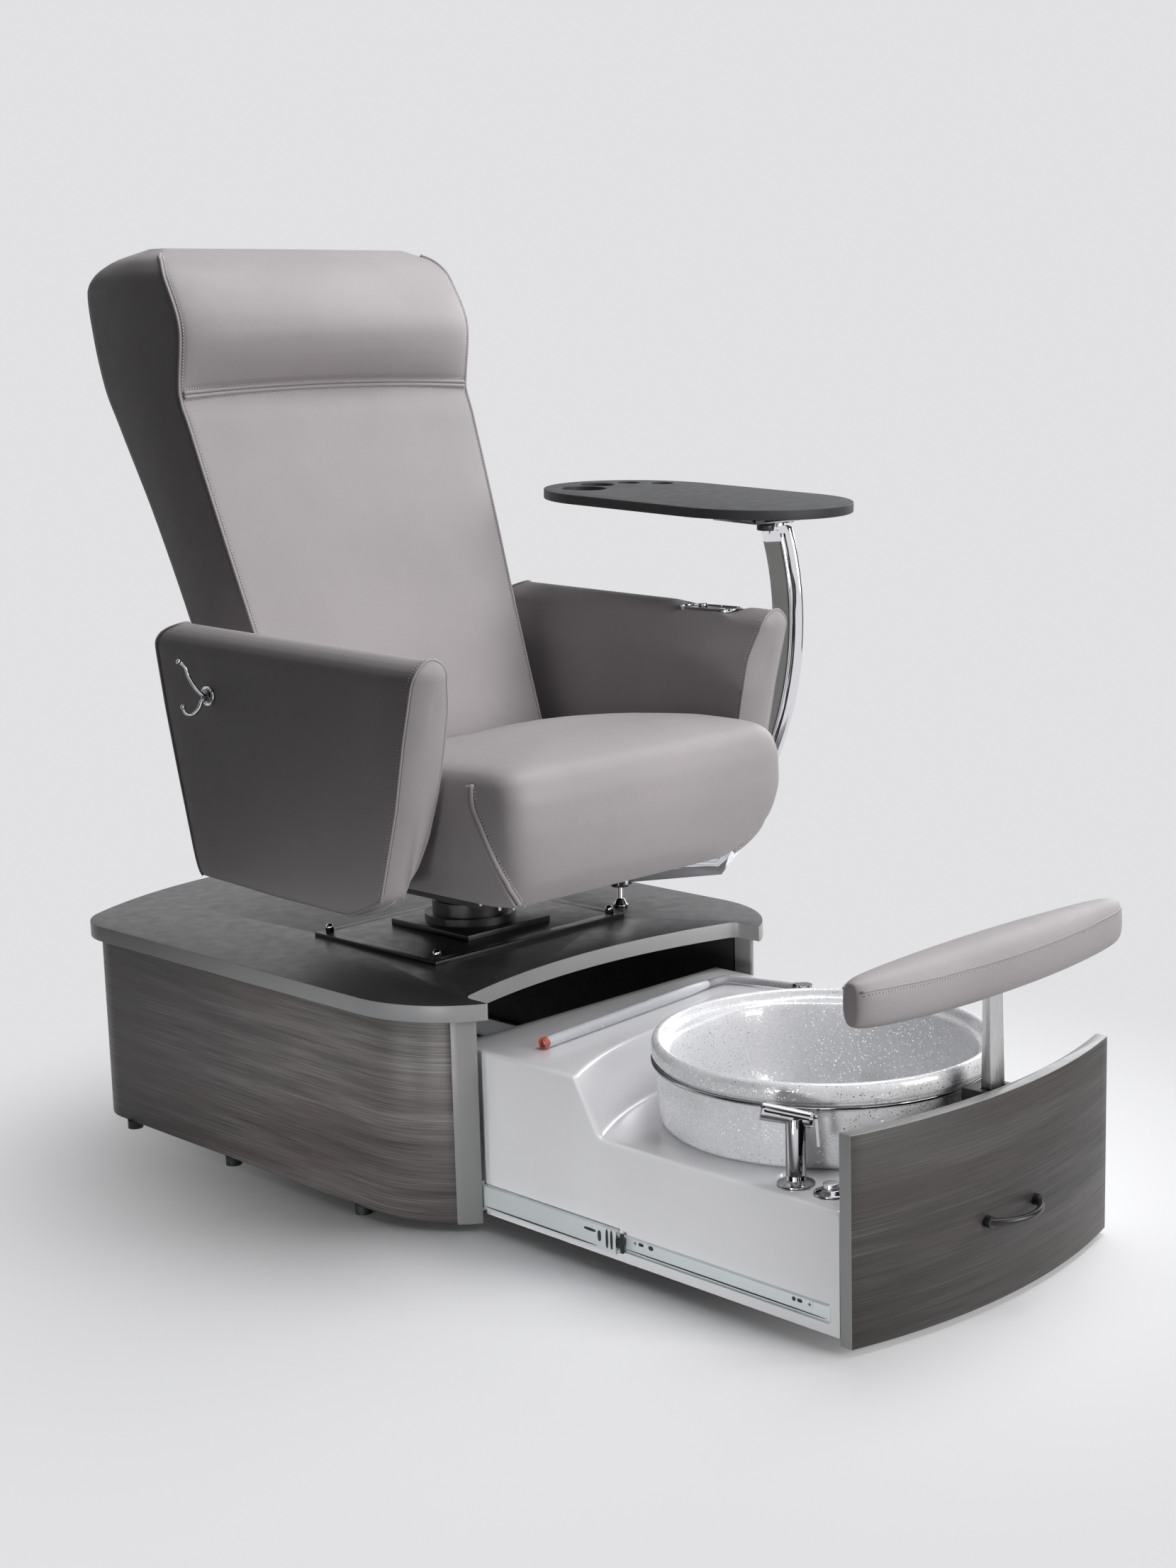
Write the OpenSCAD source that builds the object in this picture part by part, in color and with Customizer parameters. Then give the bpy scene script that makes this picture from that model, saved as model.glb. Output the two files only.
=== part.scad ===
// Pedicure spa chair: a swivelling, reclining chair on a cabinet whose foot-bath drawer slides out.
// Millimetres. X = 0 is the plane of symmetry, +X is the sitter's left, the chair faces -Y,
// and Z = 0 is the floor. The piece modules count Y from the front of the drawer opening, and all
// of them are set back at the end so that the origin lies under the middle rear glide.

/* [Platform] */
// Half the width of the platform top
platform_half_w = 400; // [380:1:430]
// Height of the platform top's upper face
platform_top_z = 350.4; // [345:0.1:370]
// Thickness of the platform top
slab_thick = 25.4; // [18:0.1:27]
// How far the top hangs over the panels
slab_overhang = 18; // [10:1:25]
// Radius of the front corners of the top
front_corner_r = 200; // [180:1:205]
// Distance from the front of the opening back to the centre of the front corners
front_corner_y = 150; // [145:1:160]
// Radius of the bowed back edge
back_bow_r = 750; // [700:1:900]
// Rearmost point of the top
back_y = 1001; // [960:1:1060]
// Radius of the rear corners
rear_corner_r = 100; // [60:1:140]
// Radius of the concave front edge of the top
front_cut_r = 950; // [850:1:1200]
// Deepest point of the concave front edge
front_cut_y = 73.5; // [60:0.5:90]
// Thickness of panels and boards
panel_thick = 18; // [15:0.5:18]
// Height of the feet under the panels
foot_h = 14; // [12:0.5:17]
// Radius of the feet
foot_r = 13; // [9:0.5:16]
// Width of the opening between the stiles, halved
opening_half_w = 300; // [296:0.5:302]

/* [Drawer] */
// Side clearance taken by each ball slide
slide_gap = 12.7; // [12.7:0.1:14]
// Height of the centre line of the slides
slide_z = 50; // [48:0.5:54]
// Length of the fixed slide members
slide_len = 700; // [650:5:760]
// Length of the intermediate slide members
slide_middle_len = 620; // [560:5:640]
// Front of the intermediate members with the drawer out
slide_middle_front_y = -275; // [-300:1:-250]
// Length of the drawer slide members
slide_inner_len = 660; // [620:5:690]
// Sheet thickness of the slides
slide_t = 1.2; // [1:0.1:1.5]
// Front of the moulding
moulding_front_y = -670; // [-672:0.5:-664]
// Back of the moulding
moulding_back_y = 65; // [40:1:90]
// Underside of the moulding
moulding_bottom_z = 20; // [18:0.5:22]
// Height of the deck that carries the bowl
deck_z = 190.5; // [184:0.5:194]
// Height of the block behind the bowl
block_z = 271; // [262:0.5:274]
// Radius of the block's concave front wall along its top edge
block_wall_r = 550; // [540:1:560]
// How far the block's wall leans out towards the deck
block_wall_lean = 40; // [30:1:45]
// Clearance between the rim and the middle of the block's top edge
block_back_gap = 49.5; // [44:0.5:56]
// Wall of the moulding
moulding_wall = 4; // [3:0.5:6]
// Outer radius of the drawer front
front_r = 1000; // [950:1:1200]
// Foremost point of the drawer front
front_y = -732; // [-738:0.5:-728]
// Half the width of the drawer front
front_half_w = 287; // [280:0.5:292]
// Thickness of the drawer front
front_thick = 18.5; // [16:0.5:20]
// Lower edge of the drawer front
front_bottom_z = 9.5; // [6:0.5:14]
// Upper edge of the drawer front
front_top_z = 297; // [290:0.5:300]
// Height of the handle
handle_z = 128; // [100:1:200]
// Half the distance between the feet of the handle
handle_half = 55; // [45:0.5:64]

/* [Foot bath] */
// Clearance between the front of the moulding and the rim
bowl_front_gap = 19.5; // [16:0.5:24]
// Radius of the bowl over its rim
bowl_rim_r = 245.5; // [240:0.5:247]
// Top of the rim
bowl_top_z = 313; // [308:0.5:318]
// How much narrower the bowl is where it stands on the deck
bowl_taper = 12.5; // [10:0.5:20]
// Width of the bowl's ledge on the deck
bowl_ledge = 30; // [27:0.5:38]
// Floor of the bowl inside
bowl_floor_z = 130; // [110:1:150]
// Wall of the bowl
bowl_wall = 8; // [5:0.5:10]
// Height of the trim ring
ring_z = 280; // [276:0.5:283]
// Thickness of the trim ring's wire
ring_wire_r = 3; // [2:0.5:4]
// Radius of the drain
drain_r = 24; // [18:0.5:30]

/* [Deck fittings] */
// Distance of the hand spray from the centre plane
spray_x = -243; // [-250:0.5:-236]
// Distance of the hand spray from the front of the opening
spray_y = -561; // [-566:0.5:-556]
// Radius of the spray's flange
spray_flange_r = 25.5; // [22:0.5:28]
// Radius of the spray's stem
spray_r = 13.5; // [11:0.5:15]
// Height of the spray's stem above the deck
spray_h = 92; // [80:1:96]
// Compass direction of the spray's head
spray_heading = 135.8; // [120:0.1:150]
// Upward tilt of the spray's head
spray_tilt = 13; // [5:1:16]
// Distance of the air button from the centre plane
button_x = -241; // [-244:0.5:-238]
// Distance of the air button from the front of the opening
button_y = -619; // [-622:0.5:-616]
// Radius of the air button's bezel
button_bezel_r = 23; // [18:0.5:25]
// Radius of the air button's cap
button_r = 10.5; // [8:0.5:12]

/* [Drain wand] */
// Radius of the wand
wand_r = 8.5; // [7:0.5:10]
// Length of the clear tube
wand_len = 356; // [300:1:360]
// Length of the coloured end ring
wand_ring_len = 9; // [6:0.5:14]
// Outer radius of the ribbed hose
hose_r = 6; // [5.5:0.1:7]
// Bore radius of the ribbed hose
hose_bore_r = 3.6; // [2.5:0.1:4.4]
// Depth of the hose's ribs
rib_depth = 1; // [0.5:0.1:1.2]
// Ribs along the hose
hose_ribs = 48; // [24:1:60]

/* [Footrest] */
// Width of the post
post_w = 36; // [30:0.5:40]
// Depth of the post
post_d = 18; // [14:0.5:20]
// Length of the post
post_len = 250; // [230:1:270]
// Distance of the post's front face from the front of the opening
post_front_y = -709.6; // [-710:0.1:-708]
// Half the length of the footrest pad
pad_half_l = 295; // [260:1:300]
// Underside of the footrest pad
pad_bottom_z = 425; // [420:1:440]
// Height of the pad
pad_h = 80; // [60:1:90]
// Half the depth of the pad at its middle
pad_half_d = 45.5; // [35:0.5:50]

/* [Swivel] */
// Distance from the front of the opening to the swivel axis
swivel_y = 345; // [343:1:350]
// Half the width of the base plate
plate_half_w = 206; // [195:1:207]
// Length of the base plate from front to back
plate_len = 300; // [280:1:302]
// Thickness of the base plate
plate_thick = 6; // [5:0.5:8]
// Inset of the acorn nuts from the plate's edges
nut_inset = 17; // [14:0.5:22]
// Radius of the four plate bolts
plate_bolt_r = 4; // [3:0.5:5]
// Thickness of the riser plate
riser_thick = 10; // [8:0.5:12]
// Radius of the swivel post
swivel_post_r = 25; // [20:0.5:30]
// Running clearance of the hub on the post
running_fit = 0.05; // [0.02:0.01:0.1]
// Gap between parts that move past each other
gap = 0.3; // [0.3:0.05:0.5]

/* [Seat] */
// Underside of the seat cushion
seat_bottom_z = 480; // [478:0.5:486]
// How far the top of the seat falls towards the backrest
seat_fall = 63; // [40:1:70]
// Crown of the seat cushion
seat_top_z = 713; // [700:1:720]
// Widest half width of the seat cushion
seat_half_w = 300; // [285:0.5:301]
// Foremost point of the seat cushion
seat_front_y = -96; // [-104:1:-80]
// Thickness of the seat board
board_thick = 18; // [15:0.5:20]
// Half the width of the seat board
board_half_w = 222; // [215:0.5:226]

/* [Arms] */
// Distance of the arms' outer faces from the centre plane
arm_out_x = 402; // [398:0.5:402]
// Radius of the roll on top of the arms
arm_roll_r = 34; // [30:0.5:36]
// Top of the arms at the front
arm_front_top_z = 857; // [850:0.5:862]
// Rise of the arms' top towards the back
arm_rise = 17; // [5:0.5:24]
// Lowest height of the arms
arm_low_z = 464; // [462:0.5:468]

/* [Backrest] */
// Top of the backrest
back_top_z = 1455; // [1440:1:1470]
// Distance from the front of the opening to the recline axis
recline_y = 505; // [500:1:515]
// Height of the recline axis
recline_z = 520; // [515:1:525]
// Radius of the recline pins
recline_pin_r = 8; // [6:0.5:10]

/* [Tray] */
// Distance of the tray arm's pivot from the centre plane
tray_pivot_x = 254; // [250:1:258]
// Distance of the tray arm's pivot from the front of the opening
tray_pivot_y = 250; // [246:1:254]
// Heading of the tray arm from +X
tray_arm_heading = -38.9; // [-39.5:0.1:-30]
// Thickness of the tray arm
tray_arm_t = 25; // [20:0.5:25]
// Height of the tray arm's upper end
tray_arm_top_z = 983; // [976:0.5:985]
// Upward slope of the tray towards the rear
tray_tilt = 2.8; // [0:0.1:3]
// Height of the tray's upper face above the arm's upper end
tray_rise = 34.3; // [33.8:0.1:36]
// Thickness of the tray
tray_thick = 16.5; // [12:0.5:17]
// Length of the tray
tray_len = 600; // [560:1:610]
// Width of the tray
tray_w = 340; // [300:1:345]
// How far the tray's middle lies outwards of its pivot
tray_out = 24.5; // [15:0.5:30]
// How far the tray's middle lies behind its pivot
tray_back = 205.4; // [190:0.1:210]
// Depth of the wells in the tray
well_depth = 10; // [6:0.5:11]
// Width of the rim left outside the wells
well_rim = 28; // [24:1:34]

/* [Hidden] */
$fn = 96;

slab_bottom_z = platform_top_z - slab_thick;
front_corner_x = platform_half_w - front_corner_r;
rear_corner_x = platform_half_w - rear_corner_r;
bow_y = back_y - back_bow_r;
rear_corner_y = bow_y + sqrt(pow(back_bow_r - rear_corner_r, 2) - pow(rear_corner_x, 2));
bow_angle = atan2(rear_corner_y - bow_y, rear_corner_x);
// The panel's curve ends and the stile's begins where their shared joint crosses this angle.
stile_in_angle = 44.3;
stile_out_angle = 56.3;
stile_proud = 2;
stile_depth = 34;
stile_drop = 3;
tip_angle = 60;
tip_blunt = 4;
cut_fillet = 20;
origin_y = back_y - slab_overhang - panel_thick / 2;
inner_board_y = stile_depth + 3;
rear_board_y = 862;

slide_x = opening_half_w;
drawer_half_w = opening_half_w - slide_gap;
slide_outer_h = 46;
slide_middle_h = 35;
slide_inner_h = 25;
slide_outer_y = 4;
slide_inner_front_y = -655;
clip_len = 14;
clip_gap = 0.9;

bowl_y = moulding_front_y + bowl_front_gap + bowl_rim_r;
bowl_foot_r = bowl_rim_r - bowl_taper;
bowl_sump_r = bowl_foot_r - bowl_ledge;
block_mid_y = bowl_y + bowl_rim_r + block_back_gap;
deck_len = moulding_back_y - moulding_front_y;
block_wall_y = block_mid_y - block_wall_r;
front_centre_y = front_y + front_r;
socket_wall = 2.2;
socket_half_w = 30;
socket_bottom_z = 62;
post_bottom_z = pad_bottom_z - 5 - post_len;
pad_y = post_front_y + post_d / 2 + 5.1;

plate_front_y = swivel_y - plate_len / 2;
plate_z = platform_top_z;
riser_z = plate_z + plate_thick;
post_base_z = riser_z + riser_thick;
hub_bottom_z = post_base_z + 34;
board_z = seat_bottom_z - board_thick;
hub_plate_thick = 10;
hub_plate_w = 260;
hub_plate_len = 300;
hub_plate_z = board_z - hub_plate_thick;

// Half width, front and rear of the seat cushion by height above its underside, as shares of its height.
function seat_share(z) = (z - seat_bottom_z) / (seat_top_z - seat_bottom_z);
function seat_w(u) = seat_half_w * lookup(u, [[0, .833], [.09, .875], [.21, .93], [.37, .98], [.54, 1],
    [.69, .997], [.81, .977], [.89, .935], [.955, .85], [1, .6]]);
function seat_f(u) = seat_front_y + lookup(u, [[0, 72], [.09, 47], [.21, 21], [.37, 6], [.54, 0],
    [.69, 4], [.81, 18], [.89, 41], [.955, 72], [1, 150]]);
// Front face of the backrest by height, and the seat's rear face just ahead of it.
function back_f(z) = lookup(z, [[600, 426], [861, 521], [1025, 579], [1174, 632], [1225, 650],
    [1318, 640], [1404, 677], [1430, 698], [1455, 745]]);
function back_r(z) = lookup(z, [[600, 600], [700, 636], [861, 692], [1025, 757], [1174, 831],
    [1237, 862], [1318, 888], [1390, 901], [1418, 880], [1436, 845], [1455, 790]]);
function back_w(z) = lookup(z, [[600, 262], [861, 279], [1025, 291], [1174, 300], [1237, 303],
    [1318, 302], [1404, 299], [1436, 285], [1455, 250]]);
function back_crown(z) = lookup(z, [[600, 8], [900, 14], [1174, 10], [1228, 3], [1260, 28], [1318, 42],
    [1380, 40], [1430, 22], [1455, 0]]);
function seat_r(z) = back_f(600) + (z - 600) * 0.361 - 12;

function mix(a, b, t) = a + (b - a) * t;
function smooth(t) = let (c = min(1, max(0, t))) c * c * (3 - 2 * c);
function signed_pow(v, p) = sign(v) * pow(abs(v), p);
function arc(cx, cy, r, a0, a1, n) =
    [for (i = [0:n]) let (a = mix(a0, a1, i / n)) [cx + r * cos(a), cy + r * sin(a)]];
function reversed(list) = [for (i = [len(list) - 1:-1:0]) list[i]];
function flipped(list) = [for (p = reversed(list)) [-p[0], p[1]]];
function centre(ring) = ring * 0 == undef ? [0, 0, 0] : [for (k = [0:2]) mean([for (p = ring) p[k]])];
function total(list, i = 0) = i < len(list) ? list[i] + total(list, i + 1) : 0;
function mean(list) = total(list) / len(list);

// Closed skin over rings of equal count, each end capped from its centre.
module skin(rings) {
    n = len(rings[0]);
    m = len(rings);
    points = concat([for (r = rings) each r], [centre(rings[0]), centre(rings[m - 1])]);
    sides = [for (i = [0:m - 2], j = [0:n - 1]) let (a = i * n + j, b = i * n + (j + 1) % n)
        each [[a, b + n, b], [a, a + n, b + n]]];
    first = [for (j = [0:n - 1]) [m * n, j, (j + 1) % n]];
    last = [for (j = [0:n - 1]) [m * n + 1, (m - 1) * n + (j + 1) % n, (m - 1) * n + j]];
    polyhedron(points, concat(sides, first, last));
}

// Rounded oblong ring in a horizontal plane.
function flat_ring(z, hw, y0, y1, p, n, crown = 0) = [for (k = [0:n - 1]) let (
        a = 360 * k / n,
        x = hw * signed_pow(cos(a), 2 / p),
        y = (y0 + y1) / 2 + (y1 - y0) / 2 * signed_pow(sin(a), 2 / p),
        bulge = sin(a) < 0 ? crown * pow(max(0, 1 - pow(x / hw, 2)), 0.7) * -sin(a) : 0)
    [x, y - bulge, z]];

module rod(a, b, r) {
    d = b - a;
    translate(a)
        rotate([0, acos(d[2] / norm(d)), atan2(d[1], d[0])])
            cylinder(h = norm(d), r = r);
}

module rounded_box(w, l, h, r) {
    linear_extrude(h) {
        translate([r, 0]) square([w - 2 * r, l]);
        translate([0, r]) square([w, l - 2 * r]);
        for (x = [r, w - r], y = [r, l - r])
            translate([x, y]) circle(r);
    }
}

// A piece drawn on the sitter's left, or mirrored to the right.
module on_side(s) {
    if (s > 0) children();
    else mirror([1, 0, 0]) children();
}

// ---------------------------------------------------------------- platform

// Half outline of the top from its front tip round to the middle of its back, drawn in by inset.
function half_outline(inset) = concat(
    arc(front_corner_x, front_corner_y, front_corner_r - inset, -tip_angle, 0, 20),
    arc(rear_corner_x, rear_corner_y, rear_corner_r - inset, 0, bow_angle, 10),
    arc(0, bow_y, back_bow_r - inset, bow_angle, 90, 8));

function front_cut() = let (
        x = opening_half_w - tip_blunt,
        c = front_cut_y - front_cut_r,
        fy = c + sqrt(pow(front_cut_r - cut_fillet, 2) - pow(x - cut_fillet, 2)),
        fa = atan2(fy - c, x - cut_fillet),
        half = concat([[x, -front_corner_r]], arc(x - cut_fillet, fy, cut_fillet, 0, fa, 6),
            arc(0, c, front_cut_r, fa, 90, 10)))
    concat(half, flipped(half));

module plate_bolt_places() {
    for (x = [-1, 1], y = [plate_front_y + nut_inset, plate_front_y + plate_len - nut_inset])
        translate([x * (plate_half_w - nut_inset), y, 0]) children();
}

module platform_top() {
    color([0.22, 0.22, 0.23])
        difference() {
            translate([0, 0, slab_bottom_z])
                linear_extrude(slab_thick)
                    difference() {
                        polygon(concat(half_outline(0), flipped(half_outline(0))));
                        polygon(front_cut());
                    }
            plate_bolt_places()
                translate([0, 0, slab_bottom_z - 1])
                    cylinder(h = slab_thick + 2, r = plate_bolt_r + gap);
        }
}

module panel_wall(outline_out, outline_in, z) {
    translate([0, 0, z])
        linear_extrude(slab_bottom_z - z)
            polygon(concat(outline_out, reversed(outline_in)));
}

function side_line(inset) = concat(
    arc(front_corner_x, front_corner_y, front_corner_r - inset, -stile_in_angle, 0, 14),
    arc(rear_corner_x, rear_corner_y, rear_corner_r - inset, 0, bow_angle, 10));
function bow_line(inset) = arc(0, bow_y, back_bow_r - inset, bow_angle, 180 - bow_angle, 16);

module side_panel(s) {
    color([0.36, 0.33, 0.31])
        on_side(s) panel_wall(side_line(slab_overhang), side_line(slab_overhang + panel_thick), foot_h);
}

module back_panel() {
    color([0.36, 0.33, 0.31])
        panel_wall(bow_line(slab_overhang), bow_line(slab_overhang + panel_thick), foot_h);
}

module stile(s) {
    r = front_corner_r - slab_overhang;
    face = arc(front_corner_x, front_corner_y, r + stile_proud, -stile_out_angle, -stile_in_angle, 4);
    back = arc(front_corner_x, front_corner_y, r - panel_thick, -stile_in_angle, -stile_in_angle - 1, 1);
    color([0.56, 0.56, 0.56])
        on_side(s)
            translate([0, 0, foot_h - stile_drop])
                linear_extrude(slab_bottom_z - foot_h + stile_drop)
                    polygon(concat(face, [back[0]], [[opening_half_w, stile_depth], [opening_half_w, 0]]));
}

module inner_board(s) {
    color([0.2, 0.2, 0.2])
        on_side(s)
            translate([opening_half_w, inner_board_y, foot_h])
                cube([panel_thick, rear_board_y + panel_thick - inner_board_y, slab_bottom_z - foot_h]);
}

module rear_board() {
    color([0.2, 0.2, 0.2])
        translate([-opening_half_w, rear_board_y, foot_h])
            cube([2 * opening_half_w, panel_thick, slab_bottom_z - foot_h]);
}

module levelling_feet() {
    edge_x = platform_half_w - slab_overhang - panel_thick / 2;
    board_x = opening_half_w + panel_thick / 2;
    color([0.08, 0.08, 0.08]) {
        for (s = [-1, 1], p = [[board_x, 90], [edge_x, 190], [edge_x, 520], [board_x, 700], [edge_x, 800]])
            translate([s * p[0], p[1], 0]) cylinder(h = foot_h, r = foot_r);
        translate([0, origin_y, 0]) cylinder(h = foot_h, r = foot_r);
    }
}

// ---------------------------------------------------------------- slides

// C-shaped rail: its web at x0, its flanges reaching to x1.
module channel(x0, x1, h, y, l) {
    low = min(x0, x1);
    translate([x0 < x1 ? x0 : x0 - slide_t, y, slide_z - h / 2]) cube([slide_t, l, h]);
    for (z = [slide_z - h / 2, slide_z + h / 2 - slide_t])
        translate([low, y, z]) cube([abs(x1 - x0), l, slide_t]);
}

// Rows of balls in their cages, running between two rails.
module ball_rows(x, w, h_out, h_in, y, l) {
    row = (h_out - h_in) / 2 - slide_t - gap;
    for (z = [slide_z - h_out / 2 + slide_t, slide_z + h_out / 2 - slide_t - row])
        translate([x, y, z]) cube([w, l, row]);
}

module slide_outer(s) {
    color([0.75, 0.76, 0.77])
        on_side(s) {
            channel(slide_x, slide_x - 9.5, slide_outer_h, slide_outer_y, slide_len);
            ball_rows(slide_x - 8.5, 5, slide_outer_h, slide_middle_h, slide_outer_y, slide_len);
        }
}

module slide_middle(s) {
    color([0.78, 0.79, 0.8])
        on_side(s) {
            channel(slide_x - 2.5, slide_x - 10, slide_middle_h, slide_middle_front_y, slide_middle_len);
            ball_rows(slide_x - 10, 4, slide_middle_h, slide_inner_h, slide_middle_front_y, slide_middle_len);
        }
}

module slide_inner(s) {
    color([0.8, 0.8, 0.81])
        on_side(s)
            channel(drawer_half_w, drawer_half_w + 7.2, slide_inner_h, slide_inner_front_y, slide_inner_len);
}

module slide_clip(s) {
    color([0.06, 0.06, 0.06])
        on_side(s)
            translate([slide_x - 4.8, slide_middle_front_y - clip_gap - clip_len, slide_z])
                difference() {
                    union() {
                        translate([0, 0, -6]) cube([3.2, clip_len, 12]);
                        translate([0, 0, -12]) cube([3.2, 5, 28]);
                    }
                    translate([-1, clip_len - 4, 0]) rotate([0, 90, 0]) cylinder(h = 6, r = 1.6, $fn = 32);
                }
}

// ---------------------------------------------------------------- drawer

module moulding_form(wall) {
    below = wall > 0 ? 1 : 0;
    difference() {
        translate([-drawer_half_w + wall, moulding_front_y + wall, moulding_bottom_z - below])
            rounded_box(2 * (drawer_half_w - wall), deck_len - 2 * wall,
                block_z - wall - moulding_bottom_z + below, 14 - wall);
        translate([0, block_wall_y, deck_z - wall])
            cylinder(h = block_z - deck_z, r1 = block_wall_r - block_wall_lean + wall, r2 = block_wall_r + wall);
        translate([0, block_wall_y, block_z - wall - 0.01])
            cylinder(h = wall + 1, r = block_wall_r + wall);
    }
}

module drawer_body() {
    color([0.9, 0.9, 0.9])
        difference() {
            moulding_form(0);
            moulding_form(moulding_wall);
            translate([0, bowl_y, moulding_bottom_z])
                cylinder(h = block_z, r = bowl_sump_r + 1);
        }
}

module drawer_front() {
    color([0.38, 0.35, 0.33])
        translate([0, front_centre_y, front_bottom_z])
            intersection() {
                difference() {
                    cylinder(h = front_top_z - front_bottom_z, r = front_r, $fn = 360);
                    translate([0, 0, -1])
                        cylinder(h = front_top_z - front_bottom_z + 2, r = front_r - front_thick, $fn = 360);
                }
                translate([-front_half_w, -front_r - 1, 0])
                    cube([2 * front_half_w, front_r, front_top_z - front_bottom_z]);
            }
}

handle_foot_r = 8;

module drawer_handle() {
    foot_y = front_centre_y - sqrt(pow(front_r, 2) - pow(handle_half - handle_foot_r, 2));
    reach = 26;
    bow_r = (pow(handle_half, 2) + pow(reach, 2)) / (2 * reach);
    half_angle = asin(handle_half / bow_r);
    color([0.04, 0.04, 0.04]) {
        for (s = [-1, 1])
            translate([s * handle_half, foot_y, handle_z])
                rotate([90, 0, 0]) cylinder(h = 9, r = handle_foot_r);
        translate([0, foot_y - 6 - reach + bow_r, handle_z])
            rotate([0, 0, 270 - half_angle])
                rotate_extrude(angle = 2 * half_angle)
                    translate([bow_r, 0]) circle(5, $fn = 32);
    }
}

// ---------------------------------------------------------------- foot bath

module bowl() {
    under_rim_r = bowl_rim_r - 5;
    lip = bowl_wall + 3;
    color([0.93, 0.93, 0.94])
        translate([0, bowl_y, 0])
            rotate_extrude()
                polygon([
                    [drain_r + gap, bowl_floor_z - bowl_wall],
                    [bowl_sump_r - 14, bowl_floor_z - bowl_wall],
                    [bowl_sump_r, bowl_floor_z + 10],
                    [bowl_sump_r, deck_z],
                    [bowl_foot_r, deck_z],
                    [under_rim_r, ring_z + ring_wire_r],
                    [bowl_rim_r, ring_z + ring_wire_r + 5],
                    [bowl_rim_r + 0.5, bowl_top_z - 15],
                    [bowl_rim_r - 2, bowl_top_z - 4],
                    [bowl_rim_r - 7, bowl_top_z],
                    [bowl_rim_r - 12, bowl_top_z - 1],
                    [bowl_rim_r - 15, bowl_top_z - 6],
                    [under_rim_r - lip, ring_z - 6],
                    [bowl_foot_r - lip, deck_z + 30],
                    [bowl_sump_r - bowl_wall, deck_z + bowl_wall],
                    [bowl_sump_r - bowl_wall, bowl_floor_z + 34],
                    [bowl_sump_r - 22, bowl_floor_z + 6],
                    [bowl_sump_r - 36, bowl_floor_z],
                    [drain_r + gap, bowl_floor_z],
                ]);
}

module bowl_ring() {
    color([0.85, 0.85, 0.87])
        translate([0, bowl_y, ring_z])
            rotate_extrude()
                translate([bowl_rim_r - 5 + ring_wire_r, 0]) circle(ring_wire_r - 0.1, $fn = 24);
}

module drain_strainer() {
    color([0.85, 0.85, 0.87])
        translate([0, bowl_y, 0])
            difference() {
                union() {
                    translate([0, 0, bowl_floor_z]) cylinder(h = 2.5, r = drain_r + 5);
                    translate([0, 0, bowl_floor_z - 40]) cylinder(h = 40, r = drain_r);
                }
                translate([0, 0, bowl_floor_z - 41]) cylinder(h = 40, r = drain_r - 3);
                for (a = [0:60:300])
                    rotate(a) translate([drain_r / 2, 0, bowl_floor_z - 2]) cylinder(h = 6, r = 3);
            }
}

// ---------------------------------------------------------------- deck fittings

collar_h = 14;
socket_r = 8;
stem_in = 12;

module spray_holder() {
    color([0.82, 0.82, 0.84])
        translate([spray_x, spray_y, deck_z])
            difference() {
                union() {
                    cylinder(h = 3, r = spray_flange_r);
                    translate([0, 0, 3]) cylinder(h = 4, r1 = spray_flange_r - 1, r2 = spray_r + 2);
                    cylinder(h = collar_h, r = spray_r);
                }
                translate([0, 0, collar_h - stem_in - 1]) cylinder(h = stem_in + 2, r = socket_r);
            }
}

// Frames on the stem's axis at its top, X along the head: level, and tilted with the head.
module head_level() {
    translate([spray_x, spray_y, deck_z + spray_h])
        rotate([0, 0, spray_heading]) children();
}

module head_frame() {
    head_level() rotate([0, -spray_tilt, 0]) children();
}

head_back = 22;
head_len = 68;
head_back_r = 10.5;
head_front_r = 12.5;
lever_w = 10;
lever_t = 4;
// Inner face of the lever, top and bottom, and its pin, in the level frame of the head.
lever_top = [-head_back - 2.3, 6];
lever_low = [-head_back - 5.5, -40];
lever_pin = [lever_top[0] - lever_t / 2, 3];
lever_pin_r = 1.6;
ear_t = 2;

module lever_cross(length, r) {
    translate([lever_pin[0], length / 2, lever_pin[1]])
        rotate([90, 0, 0]) cylinder(h = length, r = r, $fn = 32);
}

module spray_handle() {
    ear_x = lever_pin[0] - 3;
    color([0.82, 0.82, 0.84]) {
        head_level()
            difference() {
                for (s = [-1, 1])
                    translate([ear_x, s * (lever_w / 2 + gap + ear_t / 2) - ear_t / 2, -1])
                        cube([-head_back + 2 - ear_x, ear_t, 7]);
                lever_cross(lever_w + 20, lever_pin_r + running_fit);
            }
        translate([spray_x, spray_y, deck_z + collar_h + gap])
            cylinder(h = spray_h - collar_h - gap, r = spray_r);
        translate([spray_x, spray_y, deck_z + collar_h - stem_in])
            cylinder(h = stem_in + gap + 1, r = socket_r - running_fit);
        head_frame()
            translate([-head_back, 0, 0])
                rotate([0, 90, 0]) cylinder(h = head_len, r1 = head_back_r, r2 = head_front_r);
    }
}

module spray_lever() {
    color([0.8, 0.8, 0.82])
        head_level() {
            lever_cross(lever_w + 2 * (gap + ear_t), lever_pin_r);
            translate([0, lever_w / 2, 0])
                rotate([90, 0, 0])
                    linear_extrude(lever_w)
                        polygon([lever_top, lever_top - [lever_t, 0], lever_low - [lever_t, 0], lever_low]);
        }
}

button_travel = 4;

module button_bezel() {
    color([0.82, 0.82, 0.84])
        translate([button_x, button_y, deck_z])
            difference() {
                union() {
                    cylinder(h = 3, r = button_bezel_r);
                    translate([0, 0, 3]) cylinder(h = 5, r1 = button_bezel_r - 2, r2 = button_r + 3);
                }
                translate([0, 0, 2]) cylinder(h = 8, r = button_r + running_fit);
            }
}

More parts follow.
